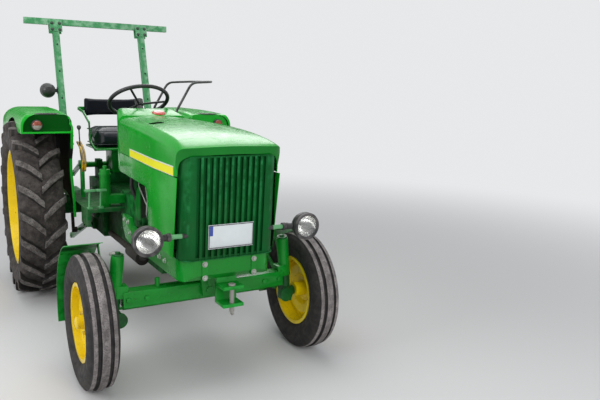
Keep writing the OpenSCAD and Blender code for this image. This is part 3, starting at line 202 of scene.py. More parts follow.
# Front frame: a cast nose with two long side rails, bolted to the engine. The CAD solid has its true shape,
# so a copy of it gets rounded casting edges and a thick, slightly uneven coat of green.
def noise(tree, scale, detail=4, rough=0.55):
    """Noise on the piece's own coordinates."""
    made = added(tree, "TexNoise", Scale=scale, Detail=detail, Roughness=rough)
    wire(tree, (own_place(tree), made.inputs["Vector"]))
    return made.outputs["Fac"]


def steps(tree, value, low, high, out_low=0.0, out_high=1.0):
    """The value spread from low..high to out_low..out_high, and held at the ends."""
    made = added(tree, "MapRange", From_Min=low, From_Max=high, To_Min=out_low, To_Max=out_high)
    wire(tree, (value, made.inputs["Value"]))
    return made.outputs["Result"]


def times(tree, a, b):
    """The product of two amounts."""
    return figured(tree, "MULTIPLY", a, b)


def mixed(tree, amount, a, b):
    """Colour b laid over colour a where the amount is 1."""
    made = tree.nodes.new("ShaderNodeMix")
    made.data_type = "RGBA"
    wire(tree, (amount, made.inputs["Factor"]))
    for socket, value in ((made.inputs["A"], a), (made.inputs["B"], b)):
        if isinstance(value, tuple):
            socket.default_value = (*value, 1)
        else:
            wire(tree, (value, socket))
    return made.outputs["Result"]


def facing_up(tree):
    """1 where the piece's own surface faces up, 0 where it is upright or faces down."""
    parts = tree.nodes.new("ShaderNodeSeparateXYZ")
    wire(tree, (tree.nodes.new("ShaderNodeTexCoord").outputs["Normal"], parts.inputs[0]))
    return steps(tree, parts.outputs["Z"], 0.35, 0.95)


def worn_edges(tree, low=0.515, high=0.56):
    """1 on sharp outer edges, broken up by noise."""
    pointed = tree.nodes.new("ShaderNodeNewGeometry").outputs["Pointiness"]
    return times(tree, steps(tree, pointed, low, high), steps(tree, noise(tree, 22, 4), 0.42, 0.6))


def bumped(tree, height, depth, strength=1.0):
    """Lets the height stand out of the surface by a depth in metres."""
    made = added(tree, "Bump", Distance=depth, Strength=strength)
    wire(tree, (height, made.inputs["Height"]),
         (made.outputs[0], tree.nodes["Principled BSDF"].inputs["Normal"]))


def paint(name, colour, deep, dust=0.35, chips=0.5, rough=0.24, dirt=(0.075, 0.062, 0.038), coat=0.5,
          edge=None, waves=0.0012, specular=0.5):
    """Old paint: uneven in depth, dusty on top, dirt in specks, chips down to dark primer, and worn edges."""
    made = material(name, rough, coat=coat, specular=specular)
    tree = made.node_tree
    shader = tree.nodes["Principled BSDF"]
    base = mixed(tree, steps(tree, noise(tree, 2.3, 5), 0.35, 0.68), colour, deep)
    streaks = times(tree, steps(tree, noise(tree, 5.5, 6, 0.65), 0.50, 0.74), dust)
    base = mixed(tree, streaks, base, tuple(0.6 * c + 0.4 * d for c, d in zip(deep, dirt)))
    fallen = times(tree, times(tree, facing_up(tree), steps(tree, noise(tree, 38, 5, 0.7), 0.48, 0.75)), dust)
    base = mixed(tree, fallen, base, dirt)
    specks = times(tree, steps(tree, noise(tree, 95, 3, 0.6), 0.665, 0.70), chips)
    base = mixed(tree, specks, base, (0.022, 0.018, 0.012))
    if edge:
        base = mixed(tree, worn_edges(tree), base, edge)
    wire(tree, (base, shader.inputs["Base Color"]),
         (figured(tree, "ADD", steps(tree, noise(tree, 11, 5, 0.6), 0.4, 0.75, rough, rough + 0.16),
                  times(tree, fallen, 0.9)), shader.inputs["Roughness"]))
    bumped(tree, noise(tree, 14, 3), waves, 0.5)
    return made


def only(piece):
    """Selects one piece and makes it the active one."""
    bpy.ops.object.select_all(action="DESELECT")
    piece.select_set(True)
    bpy.context.view_layer.objects.active = piece


def reworked(piece, *changes, parts=None, test=None):
    """Makes changes in edit mode on all of a piece, or on those of its faces or edges that pass a test."""
    only(piece)
    bpy.ops.object.mode_set(mode="EDIT")
    bpy.ops.mesh.select_all(action="DESELECT" if test else "SELECT")
    if test:
        bpy.ops.object.mode_set(mode="OBJECT")
        for part in piece.data.edges if parts == "edges" else piece.data.polygons:
            part.select = test(part)
        bpy.ops.object.mode_set(mode="EDIT")
    for change in changes:
        change()
    bpy.ops.object.mode_set(mode="OBJECT")


def linked(name, mesh):
    """A mesh as a new object in the scene."""
    piece = bpy.data.objects.new(name, mesh)
    bpy.context.scene.collection.objects.link(piece)
    return piece


def stood(place, facing):
    """The turn and shift that stand a piece at a place, with its top the way the surface faces."""
    return Matrix.Translation(place) @ facing.to_track_quat("Z", "Y").to_matrix().to_4x4()


def finish_edges(piece, width, segments=2, angle=28, smooth=32):
    """Rounds the sharp edges and shades the rest smooth, as a dressed casting or rolled sheet is."""
    only(piece)
    if width:
        rounding = piece.modifiers.new("rounding", "BEVEL")
        rounding.width = width
        rounding.segments = segments
        rounding.limit_method = "ANGLE"
        rounding.angle_limit = math.radians(angle)
        bpy.ops.object.modifier_apply(modifier="rounding")
    bpy.ops.object.shade_smooth_by_angle(angle=math.radians(smooth))
    piece.select_set(False)


def dressed(node, name, coat, width=0.002, segments=2, angle=28, ready=None):
    """A copy of a CAD node's solid with merged faces and rounded edges, which stands for the node."""
    piece = linked(name, nodes[node].data.copy())
    piece.data.materials.clear()
    piece.data.materials.append(coat)
    reworked(piece, lambda: bpy.ops.mesh.remove_doubles(threshold=0.00004),
             lambda: bpy.ops.mesh.dissolve_limited(angle_limit=math.radians(0.6)))
    if ready:
        ready(piece)
    finish_edges(piece, width, segments, angle)
    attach(piece, nodes[node]["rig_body"])
    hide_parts(node)
    return piece


def settled(piece, name, coat, width=0.0, stands_for=None, segments=2, angle=28, smooth=32,
            body="chassis"):
    """Puts a new piece's place into its mesh, closes and rounds it, and hands it to its body."""
    piece.name = piece.data.name = name
    only(piece)
    bpy.ops.object.transform_apply(location=True, rotation=True, scale=True)
    piece.data.materials.clear()
    piece.data.materials.append(coat)
    reworked(piece, lambda: bpy.ops.mesh.remove_doubles(threshold=0.00002),
             lambda: bpy.ops.mesh.normals_make_consistent(inside=False))
    finish_edges(piece, width, segments, angle, smooth)
    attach(piece, body)
    if stands_for:
        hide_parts(stands_for)
    return piece


def joined(pieces):
    """Makes one piece of several."""
    bpy.ops.object.select_all(action="DESELECT")
    for piece in pieces:
        piece.select_set(True)
    bpy.context.view_layer.objects.active = pieces[0]
    if len(pieces) > 1:
        bpy.ops.object.join()
    return bpy.context.object


def bolts(name, places, facing, size, coat):
    """Hexagon heads on washers: one is modelled, the others are copies of it."""
    bpy.ops.mesh.primitive_cylinder_add(vertices=6, radius=size, depth=size * 1.1,
                                        location=(0, 0, size * 0.6))
    head = bpy.context.object
    finish_edges(head, size * 0.16)
    bpy.ops.mesh.primitive_cylinder_add(vertices=20, radius=size * 1.45, depth=size * 0.3,
                                        location=(0, 0, size * 0.12))
    finish_edges(bpy.context.object, size * 0.06)
    first = joined([head, bpy.context.object])
    only(first)
    bpy.ops.object.transform_apply(location=True, rotation=True, scale=True)
    model = first.data
    made = []
    for i, place in enumerate(places):
        copy = linked(name, model.copy())
        copy.data.transform(stood(place, facing) @ Matrix.Rotation(i * 0.7, 4, "Z"))
        made.append(copy)
    bpy.data.objects.remove(first)
    return settled(joined(made), name, coat)


cast_green = paint("cast_green", (0.002, 0.225, 0.016), (0.002, 0.160, 0.012), dust=0.25, chips=0.6,
                   rough=0.27, edge=(0.008, 0.27, 0.03), coat=0.25, specular=0.2, waves=0.002)
gloss_green = paint("gloss_green", (0.003, 0.320, 0.016), (0.003, 0.250, 0.014), dust=0.12, chips=0.25,
                    rough=0.18, coat=0.08, specular=0.10)
bright_steel = paint("plated_bolts", (0.42, 0.44, 0.40), (0.22, 0.24, 0.20), dust=0.4, chips=0.3, rough=0.35,
                     coat=0.0)
dressed("front_frame", "front_frame_casting", cast_green, 0.006, 3)
dressed("front_hitch", "front_hitch_jaw", cast_green, 0.003)
bolts("strap_bolts", [at(2299, y, z) for y in (-141, 141) for z in (640, 714)], Vector((1, 0, 0)), 0.0105,
      bright_steel)
rail_bolts = [(1210, 755), (1294, 755), (1337, 690), (1935, 682), (2030, 682)]
sides = (("right", -1), ("left", 1))
for side, s in sides:
    bolts("rail_bolts_" + side, [at(x, s * 265, z) for x, z in rail_bolts], Vector((0, s, 0)), 0.011,
          bright_steel)

# Front axle: a cast beam that swings on a pin under the nose, with a leaning kingpin tube at each end. The
# knuckles turn in the tubes, dark with grease, and a green tie rod joins their arms. Bare caps close the
# tubes.
bare_steel = paint("bare_steel", (0.34, 0.34, 0.32), (0.20, 0.19, 0.17), dust=0.45, chips=0.4, rough=0.38,
                   coat=0.0)
dressed("front_axle", "front_axle_beam", cast_green, 0.005, 3)
dressed("tie_rod", "tie_rod_bar", cast_green, 0.0015)
greasy_green = paint("greasy_green", (0.004, 0.085, 0.014), (0.006, 0.035, 0.010), dust=0.9, chips=0.8,
                     rough=0.4, dirt=(0.020, 0.017, 0.012), coat=0.1, specular=0.25, edge=(0.010, 0.16, 0.03),
                     waves=0.002)
for side, s in sides:
    dressed("knuckle_" + side, "steering_knuckle_" + side, greasy_green, 0.003)
lean = math.radians(5.3)
for side, s in sides:
    top = at(1930, s * 512, 717)
    bpy.ops.mesh.primitive_cylinder_add(vertices=32, radius=0.031, depth=0.012, location=(0, 0, 0.004))
    cap = bpy.context.object
    only(cap)
    bpy.ops.object.transform_apply(location=True)
    reworked(cap, lambda: bpy.ops.mesh.inset(thickness=0.009, depth=0.0),
             lambda: bpy.ops.mesh.inset(thickness=0.004, depth=0.006), test=lambda face: face.normal.z > 0.9)
    cap.data.transform(Matrix.Translation(top) @ Matrix.Rotation(s * lean, 4, "X"))
    settled(cap, "kingpin_cap_" + side, bare_steel, 0.0015)


# Front wheels: pressed yellow discs welded into rims, and ribbed 16-inch tyres of grey, sun-bleached rubber.
# The tyre is a turned outline: three ribs with two grooves between them, a moulded ring and a bead at the
# rim.
def turned(outline, centre, axis="Y", side=1, turns=72):
    """Spins an outline of [radius, distance along the axis], in millimetres, round a centre."""
    ring = bpy.data.meshes.new("turned")
    out = {"X": Vector((side, 0, 0)), "Y": Vector((0, side, 0)), "Z": Vector((0, 0, side))}[axis]
    up = Vector((1, 0, 0)) if axis == "Z" else Vector((0, 0, 1))
    places = [centre + up * (r / 1000) + out * (d / 1000) for r, d in outline]
    ring.from_pydata(places, [(i, i + 1) for i in range(len(places) - 1)], [])
    piece = linked("turned", ring)
    reworked(piece, lambda: bpy.ops.mesh.spin(steps=turns, angle=math.tau, center=centre, axis=out),
             lambda: bpy.ops.mesh.select_all(action="SELECT"),
             lambda: bpy.ops.mesh.remove_doubles(threshold=0.00003),
             lambda: bpy.ops.mesh.normals_make_consistent(inside=False))
    return piece


def both_ways(half):
    """The outline from one side over the top to the other side, mirrored."""
    return [(r, -w) for r, w in half] + [(r, w) for r, w in reversed(half)]


def rubber(name, colour, dust_colour, bleach, grain=0.5):
    """Tyre rubber: bleached in patches, paler on its edges, with dark specks where the dust has worn off."""
    made = material(name, 0.72, specular=0.3)
    tree = made.node_tree
    shader = tree.nodes["Principled BSDF"]
    base = mixed(tree, steps(tree, noise(tree, 7, 6, 0.65), 0.35, 0.7), colour,
                 tuple(0.55 * c for c in colour))
    base = mixed(tree, times(tree, steps(tree, noise(tree, 19, 6, 0.7), 0.42, 0.72), bleach), base,
                 dust_colour)
    base = mixed(tree, times(tree, worn_edges(tree, 0.52, 0.58), 0.6), base,
                 tuple(1.15 * c for c in dust_colour))
    base = mixed(tree, times(tree, steps(tree, noise(tree, 150, 4, 0.6), 0.52, 0.62), grain), base,
                 tuple(0.35 * c for c in colour))
    wire(tree, (base, shader.inputs["Base Color"]),
         (steps(tree, noise(tree, 30, 5), 0.3, 0.7, 0.6, 0.9), shader.inputs["Roughness"]))
    bumped(tree, noise(tree, 160, 5, 0.6), 0.0012, 0.6)
    return made


rim_yellow = paint("rim_yellow", (0.88, 0.66, 0.003), (0.76, 0.52, 0.003), dust=0.3, chips=0.8, rough=0.26,
                   dirt=(0.14, 0.10, 0.04), coat=0.25, specular=0.25, edge=(0.35, 0.20, 0.03))
rib_rubber = rubber("rib_rubber", (0.16, 0.142, 0.140), (0.36, 0.325, 0.32), 0.8, 0.75)
wall_rubber = rubber("wall_rubber", (0.026, 0.024, 0.024), (0.075, 0.066, 0.062), 0.5, 0.3)
front_half = [(204, 54), (216, 54.5), (220, 60), (232, 67), (246, 73), (262, 79), (284, 82), (286, 81),
              (289, 81), (291, 82), (306, 81), (325, 77.5), (338, 72), (345, 68), (348, 64.5), (352, 63.5),
              (358, 60), (360.5, 56), (362.5, 46), (362.5, 42), (361, 40), (352, 38.5), (351, 36), (351, 25),
              (352, 22.5), (364, 21), (366.5, 19.5), (367.5, 17), (367.5, 6)]
front_radius, front_side = 367.5, 651
for side, s in sides:
    dressed("front_rim_" + side, "front_wheel_disc_" + side, rim_yellow, 0.002, 3)
    hub = at(1930, s * front_side, front_radius)
    tyre = turned(both_ways(front_half), hub, side=s, turns=96)
    settled(tyre, "front_tyre_tread_" + side, wall_rubber, 0.0, "front_tyre_" + side,
            smooth=40, body="front_wheel_" + side)
    tyre.data.materials.append(rib_rubber)
    for face in tyre.data.polygons:
        spoke = Vector((face.center.x - hub.x, 0, face.center.z - hub.z))
        if spoke.length > 0.356 and face.normal.dot(spoke.normalized()) > 0.75:
            face.material_index = 1
    cap = turned([(0, 66), (12, 66), (22, 62), (28, 54), (29, 40), (33, 38), (33, 30)], hub, side=s, turns=32)
    settled(cap, "front_hub_cap_" + side, bare_steel, 0.001, body="front_wheel_" + side)

# Front mudguards: rolled green sheet over the tyre, carried by an arm from the knuckle.
# Their edges are wired and rounded; two bolts hold each to its arm.
for side, s in sides:
    dressed("mudguard_" + side, "front_mudguard_" + side, cast_green, 0.0012)

# Grille: a sheet with rolled-back edges, a sunk field of flat upright bars, and a lip over the
# casting. The blank number plate stands before it on two small blocks, white with a dark edge and a blue end.
grille_green = paint("grille_green", (0.003, 0.105, 0.019), (0.002, 0.060, 0.012), dust=0.35, chips=0.35,
                     rough=0.4, dirt=(0.05, 0.04, 0.025), edge=(0.015, 0.17, 0.05), coat=0.0, specular=0.12)
dressed("grille", "grille_sheet", grille_green, 0.0012)


def plank(low, high):
    """A block from its lowest to its highest corner."""
    bpy.ops.mesh.primitive_cube_add(size=1, location=(low + high) / 2)
    block = bpy.context.object
    block.scale = high - low
    only(block)
    bpy.ops.object.transform_apply(location=True, scale=True)
    return block


plate_white = paint("plate_white", (0.64, 0.68, 0.69), (0.56, 0.60, 0.61), dust=0.35, chips=0.15, rough=0.35,
                    dirt=(0.3, 0.27, 0.22), coat=0.3, waves=0.0006)
plate_ink = paint("plate_edge", (0.03, 0.03, 0.035), (0.02, 0.02, 0.022), dust=0.2, chips=0.1, rough=0.4)
plate_blue = paint("plate_blue", (0.02, 0.06, 0.35), (0.02, 0.05, 0.28), dust=0.2, chips=0.1, rough=0.35)
dressed("number_plate", "blank_plate", plate_white, 0.0008)
plate_lean = math.radians(4)
for place, (y0, y1, z0, z1), finish in (
        ("top", (-126, 126, 58, 62), plate_ink), ("foot", (-126, 126, -62, -58), plate_ink),
        ("right", (-126, -122, -58, 58), plate_ink), ("left", (122, 126, -58, 58), plate_ink),
        ("blue_end", (-121, -104, 6, 57), plate_blue)):
    strip = plank(Vector((0.0, y0 / 1000, z0 / 1000)), Vector((0.0012, y1 / 1000, z1 / 1000)))
    strip.data.transform(Matrix.Translation(at(2316.5, 0, 859)) @ Matrix.Rotation(plate_lean, 4, "Y"))
    settled(strip, "plate_" + place, finish, 0.0003)

# Bonnet: one large pressed sheet, 3 mm thick, with soft shoulders and a slightly crowned top that falls to
# the nose. Its front edge is folded in to a wide band in a darker green, which is painted shade. It is
# lofted in rows from the rear to the nose.
def between(table, x):
    """Reads a table of [x, value] pairs, sorted from high to low x, with straight lines between them."""
    for (x0, v0), (x1, v1) in zip(table, table[1:]):
        if x >= x1:
            return v1 + (v0 - v1) * min(1.0, (x - x1) / (x0 - x1))
    return table[-1][1]


nose_x, rear_x, foot_z = 2345, 1000, 1177
half_width = [(2345, 291), (2250, 291), (1900, 284.5), (1600, 267), (1250, 248), (1000, 234)]
top_height = [(2345, 1328), (2320, 1338), (2290, 1347), (2214, 1363), (2127, 1377), (1998, 1390),
              (1890, 1398), (1787, 1404), (1600, 1411), (1300, 1416), (1000, 1418)]
shoulder_width = [(2345, 54), (2280, 56), (2191, 62), (1861, 66), (1600, 62), (1250, 52), (1000, 42)]
shoulder_height = [(2345, 60), (2280, 74), (2191, 84), (1861, 88), (1600, 80), (1250, 62), (1000, 46)]


def bonnet_point(x, column):
    """A point of the right half's section: lower edge 0, shoulder 3 to 10, middle 14."""
    half, top = between(half_width, x), between(top_height, x)
    wide, high = between(shoulder_width, x), between(shoulder_height, x)
    crown = 7 + 6 * (nose_x - x) / (nose_x - rear_x)
    start = top - crown - high
    if column <= 3:
        return -half, foot_z + (start - foot_z) * (0, 0.04, 0.5, 1)[column]
    if column <= 10:
        angle = math.radians((column - 3) / 7 * 90)
        return (-half + wide - wide * math.cos(angle) ** 0.82, start + high * math.sin(angle) ** 0.82)
    y = (half - wide) * (14 - column) / 4
    return -y, top - crown * (y / (half - wide)) ** 2


crease_x = [2251, 2254, 2276, 2291, 2296, 2303, 2313, 2324, 2333, 2339, 2342, 2344, 2345, 2345, 2345]
inner_edge = [(2284, -280, 1177), (2285, -280, 1181), (2289, -279.5, 1205), (2291, -277, 1228),
              (2293, -274, 1239), (2296, -270, 1249), (2301, -265, 1257), (2306, -256, 1264.5),
              (2311, -246, 1270), (2315, -236, 1274.5), (2319, -224, 1278), (2325, -170, 1281),
              (2330, -115, 1283.5), (2334, -58, 1285.5), (2335, 0, 1286)]
along = [0.002, 0.005, 0.07, 0.19, 0.33, 0.46, 0.59, 0.71, 0.80, 0.87, 0.92, 0.95, 0.97, 0.982, 0.991, 0.997]
columns = list(range(15)) + list(range(13, -1, -1))
rows = []
for share in along:
    row = []
    for i, column in enumerate(columns):
        x = rear_x + (crease_x[column] - rear_x) * share
        y, z = bonnet_point(x, column)
        row.append(at(x, -y if i > 14 else y, z))
    rows.append(row)
crease = [at(crease_x[c], (-1 if i <= 14 else 1) * abs(bonnet_point(crease_x[c], c)[0]),
             bonnet_point(crease_x[c], c)[1]) for i, c in enumerate(columns)]
inner = [at(inner_edge[c][0], (-1 if i > 14 else 1) * inner_edge[c][1], inner_edge[c][2])
         for i, c in enumerate(columns)]
rows.append(crease)
for share in (0.05, 0.5, 0.93):
    rows.append([a.lerp(b, share) for a, b in zip(crease, inner)])
rows.append(inner)
for back in (0.003, 0.016):
    rows.append([p - Vector((back, 0, 0)) for p in inner])


def skin(rows, thickness, smoothing):
    """A sheet lofted through rows of points, smoothed, and thickened inwards."""
    sheet = bpy.data.meshes.new("skin")
    wide = len(rows[0])
    faces = [(i * wide + j, (i + 1) * wide + j, (i + 1) * wide + j + 1, i * wide + j + 1)
             for i in range(len(rows) - 1) for j in range(wide - 1)]
    sheet.from_pydata([p for row in rows for p in row], [], faces)
    piece = linked("skin", sheet)
    only(piece)
    if smoothing:
        smooth = piece.modifiers.new("smoothing", "SUBSURF")
        smooth.levels = smooth.render_levels = smoothing
        smooth.boundary_smooth = "PRESERVE_CORNERS"
        bpy.ops.object.modifier_apply(modifier="smoothing")
    bpy.ops.object.shade_smooth()
    if thickness:
        wall = piece.modifiers.new("wall", "SOLIDIFY")
        wall.thickness = thickness
        wall.offset = -1
        wall.use_quality_normals = True
        bpy.ops.object.modifier_apply(modifier="wall")
    return piece


# A darker copy of the bonnet's green for the front band: painted shade.
band_shade_green = paint("band_shade_green", (0.002, 0.175, 0.014), (0.002, 0.145, 0.012), dust=0.12, chips=0.2,
                   rough=0.28, coat=0.12, specular=0.2)
bonnet = skin(rows, 0.003, 2)
settled(bonnet, "bonnet_sheet", gloss_green, 0.0, "bonnet", smooth=34)
# The forward-facing faces of the band take the darker green as painted shade.
bonnet.data.materials.append(band_shade_green)
for face in bonnet.data.polygons:
    middle, facing = face.center, face.normal
    if middle.x > at(2250, 0, 0).x and facing.x > 0.55 and middle.z > 1.172:
        face.material_index = 1

# Stripe: a thin self-adhesive strip, yellow with a white upper edge, stuck on each side of the bonnet and
# left blank.
stripe_yellow = paint("stripe_yellow", (0.86, 0.82, 0.008), (0.82, 0.74, 0.008), dust=0.15, chips=0.2,
                      rough=0.35, dirt=(0.35, 0.28, 0.12), coat=0.1, waves=0.0004, specular=0.25)
stripe_white = paint("stripe_white", (0.72, 0.74, 0.70), (0.64, 0.66, 0.62), dust=0.3, chips=0.2, rough=0.4,
                     dirt=(0.35, 0.30, 0.20), coat=0.2, waves=0.0004)
for side, s in sides:
    for strip, low, high, finish in (("yellow", 1180, 1221, stripe_yellow),
                                     ("edge", 1221.5, 1228, stripe_white),
                                     ("foot_edge", 1176.5, 1179.5, stripe_white)):
        lines = []
        for step in range(25):
            x = 1310 + (2254 - 1310) * step / 24
            lines.append([at(x, s * (between(half_width, x) + 0.7), z)
                          for z in (low, (low + high) / 2, high)])
        label = skin(lines, 0.0006, 0)
        settled(label, "stripe_" + strip + "_" + side, finish)

# Side sheets: pressed panels below the bonnet, stepped over the open side of the engine.
# Cowl: the tank and dash cover behind the bonnet, with the red filler cap on its slope.
# The insides of bonnet and sheets are dull black, for their dirt and as painted shade; the slot is a black
# patch laid on the bonnet, painted shade for the dark inside of the opening.
dirt_and_shade_black = paint("inside_dirt_and_shade", (0.010, 0.014, 0.010), (0.006, 0.008, 0.006), dust=0.4, chips=0.0,
                    rough=0.75, dirt=(0.030, 0.026, 0.020), coat=0.0, specular=0.15)


def dark_coated(piece, coat, hidden):
    """Gives the faces that the test picks a darker coat: painted shade, and dirt on the insides."""
    piece.data.materials.append(coat)
    for face in piece.data.polygons:
        if hidden(face.center, face.normal):
            face.material_index = len(piece.data.materials) - 1


def met(piece, start, heading):
    """Where a straight line first meets a piece, and which way the surface faces there."""
    _, place, facing, _ = piece.ray_cast(start, Vector(heading))
    return place, facing


band_back = at(2262, 0, 0).x
# The bonnet's insides are dull black: dirt and painted shade.
dark_coated(bonnet, dirt_and_shade_black, lambda middle, facing: middle.x < band_back and (facing.z < -0.3 or
                                                                             facing.y * middle.y < -0.02))
bpy.context.view_layer.update()
lines = []
for row in (-1, -0.5, 0, 0.5, 1):
    line = []
    for step in range(-10, 11):
        share = step / 10
        x = 1600 - 12 * share + row * (3 + 34 * (1 - share * share) ** 0.7)
        place, facing = met(bonnet, at(x, -168 + 50 * share, 1600), (0, 0, -1))
        line.append(place + facing * 0.0014)
    lines.append(line)
slot_patch = skin(lines, 0.001, 0)
# The slot is a flat black patch: painted shade for the dark inside of the opening.
slot_shade_black = paint("slot_shade_black", (0.003, 0.004, 0.003), (0.002, 0.002, 0.002), dust=0.1, chips=0.0,
                   rough=0.95, coat=0.0, specular=0.0)
settled(slot_patch, "bonnet_slot", slot_shade_black)
for side, s in sides:
    sheet = dressed("side_panel_" + side, "engine_side_sheet_" + side, gloss_green, 0.0022, 3)
    # Their insides too are dull black: dirt and painted shade.
    dark_coated(sheet, dirt_and_shade_black, lambda middle, facing: middle.x < band_back and facing.y * middle.y < -0.02)
dressed("cowl", "tank_cowl", gloss_green, 0.010, 4, angle=16)
cap_red = paint("cap_red", (0.55, 0.030, 0.012), (0.42, 0.02, 0.01), dust=0.4, chips=0.4, rough=0.3, coat=0.3,
                dirt=(0.3, 0.2, 0.15))
cap = turned([(46, 0.5), (46.5, 3), (45, 6), (41, 7.5), (38, 7.5), (36, 8.5), (35.5, 10), (33, 12), (20, 13),
              (0, 13.4)], Vector((0, 0, 0)), axis="Z", turns=48)
for i in range(8):
    spoke = plank(Vector((0.036, -0.004, 0.005)), Vector((0.0452, 0.004, 0.0095)))
    spoke.data.transform(Matrix.Rotation(i * math.tau / 8, 4, "Z"))
    finish_edges(spoke, 0.0015)
    cap = joined([cap, spoke])
cap_low, cap_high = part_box("fuel_cap")
cap.data.transform(Matrix.Translation((Vector(cap_low) + Vector(cap_high)) / 2 - Vector((0.002, 0, 0.0085)))
                   @ Matrix.Rotation(math.radians(14.5), 4, "Y"))
settled(cap, "filler_cap", cap_red, 0.0, "fuel_cap")

# Headlamps: a black pressed shell, a dark ring, a bright bowl with its bulb, and fluted glass.
# Each stands on a light green arm that comes out of the grille and ends in a black clamp.
lamp_black = paint("lamp_black", (0.018, 0.017, 0.019), (0.010, 0.010, 0.011), dust=0.5, chips=0.3,
                   rough=0.42, dirt=(0.16, 0.14, 0.13), coat=0.1, edge=(0.12, 0.11, 0.11))
arm_green = paint("arm_green", (0.10, 0.36, 0.14), (0.08, 0.29, 0.11), dust=0.3, chips=0.6, rough=0.34)
bowl_silver = material("bowl_silver", 0.16, metal=1.0)
tree = bowl_silver.node_tree
wire(tree, (mixed(tree, steps(tree, noise(tree, 30, 4), 0.4, 0.7), (0.92, 0.91, 0.89), (0.70, 0.69, 0.66)),
            tree.nodes["Principled BSDF"].inputs["Base Color"]))
bulb_holder = paint("bulb_holder", (0.10, 0.085, 0.05), (0.05, 0.04, 0.03), dust=0.4, chips=0.4, rough=0.4,
                    coat=0.0)
lamp_glass = material("lamp_glass", 0.03)
tree = lamp_glass.node_tree
shader = tree.nodes["Principled BSDF"]
shader.inputs["Transmission Weight"].default_value = 0.92
shader.inputs["IOR"].default_value = 1.46
wire(tree, (mixed(tree, steps(tree, noise(tree, 60, 5), 0.5, 0.75), (0.96, 0.98, 0.98), (0.72, 0.72, 0.68)),
            shader.inputs["Base Color"]))


def fluted(tree, scale, depth, strength):
    """Presses upright flutes into glass or clear plastic."""
    flutes = added(tree, "TexWave", Scale=scale)
    flutes.bands_direction = "Y"
    wire(tree, (own_place(tree), flutes.inputs["Vector"]))
    bumped(tree, flutes.outputs["Fac"], depth, strength)


fluted(tree, 42, 0.0016, 0.9)
for side, s in sides:
    centre = at(2339, s * 448, 872)
    dressed("headlamp_" + side, "headlamp_shell_" + side, lamp_black, 0.002, 2)
    bowl = turned([(60.5, -13), (58, -24), (50, -52), (38, -72), (24, -84), (9, -91), (0, -92)], centre, "X",
                  turns=64)
    settled(bowl, "lamp_bowl_" + side, bowl_silver)
    ring = turned([(75.5, -7), (76.6, -3), (75.2, 1.8), (71, 4.6), (66.5, 5.4), (62, 4.2), (60, 1.6),
                   (60.4, -5)], centre, "X", turns=64)
    settled(ring, "lamp_ring_" + side, lamp_black)
    bulb = turned([(0, -48), (5, -50), (9.5, -56), (11, -64), (9.5, -72), (8, -84), (12, -86), (12, -90)],
                  centre, "X", turns=24)
    settled(bulb, "lamp_bulb_" + side, bulb_holder)
    glass = turned([(0, 5.6), (16, 5.3), (32, 4.0), (48, 1.6), (58, -1.2), (62.6, -3.2), (62.6, -6),
                    (57, -4.4), (47, -1.8), (31, 0.6), (16, 1.9), (0, 2.3)], centre, "X", turns=64)
    settled(glass, "lamp_lens_" + side, lamp_glass, 0.0, "lens_" + side)
    arm = turned([(12.9, -2), (12.9, 62), (12.3, 63)], at(2282, s * 262, 872), "Y", side=s, turns=28)
    settled(arm, "lamp_arm_" + side, arm_green)
    clamp = turned([(12.6, 0), (20, 0.4), (21.5, 3), (21.5, 18), (20, 21), (15.5, 22), (15.5, 27), (18.5, 28),
                    (18.5, 36), (14, 37)], at(2282, s * 318, 872), "Y", side=s, turns=28)
    settled(clamp, "lamp_clamp_" + side, lamp_black)

# Rear wheels: a dished yellow disc bolted to the hub, hand holes round it, and a wide cross-ply tyre.
# The carcass is turned; one lug is lofted across half the tread, bevelled, and copied round both shoulders.
rear_radius, rear_side, lug_count = 668, 676, 21


def eased_shaft(piece):
    """Turns the half shaft a little thinner than its tube, so that it runs free at every angle."""
    for point in piece.data.vertices:
        spoke = Vector((point.co.x - at(0, 0, 0).x, 0, point.co.z - rear_radius / 1000))
        if abs(point.co.y) < 0.63 and spoke.length < 0.039:
            point.co -= spoke * 0.02


rear_rubber = rubber("rear_rubber", (0.034, 0.028, 0.026), (0.125, 0.108, 0.100), 0.6, 0.5)
lug_rubber = rubber("lug_rubber", (0.058, 0.050, 0.047), (0.26, 0.235, 0.225), 0.75, 0.8)
shade_rubber = rubber("shade_rubber", (0.018, 0.016, 0.015), (0.045, 0.039, 0.035), 0.4, 0.3)
rear_half = [(429, 116), (447, 117), (452, 121), (460, 131), (472, 141), (488, 148), (500, 151), (503, 154),
             (509, 154.6), (512, 152.6), (530, 155.5), (556, 155.5), (575, 152), (592, 144), (608, 131),
             (620, 112), (628, 88), (632, 60), (634, 28)]
lug_lead = [(-5, 106), (10, 93), (34, 70), (56, 50), (74, 34), (96, 17), (120, -1), (140, -15), (155.5, -27)]
lug_trail = [(-5, 52), (10, 40), (34, 12), (56, -8), (74, -25), (96, -42), (120, -58), (140, -72),
             (155.5, -84)]
lug_top = [668, 668, 668, 668, 666.5, 664, 660, 653, 643]
lug_foot = [626, 626, 624, 622, 618, 606, 590, 578, 572]


def tread_point(centre, round_x, across, radius, s):
    """A point of the tread, from its way round the wheel, its way across it and its radius."""
    angle = round_x / rear_radius
    return centre + Vector((radius * math.cos(angle), s * across, -radius * math.sin(angle))) / 1000


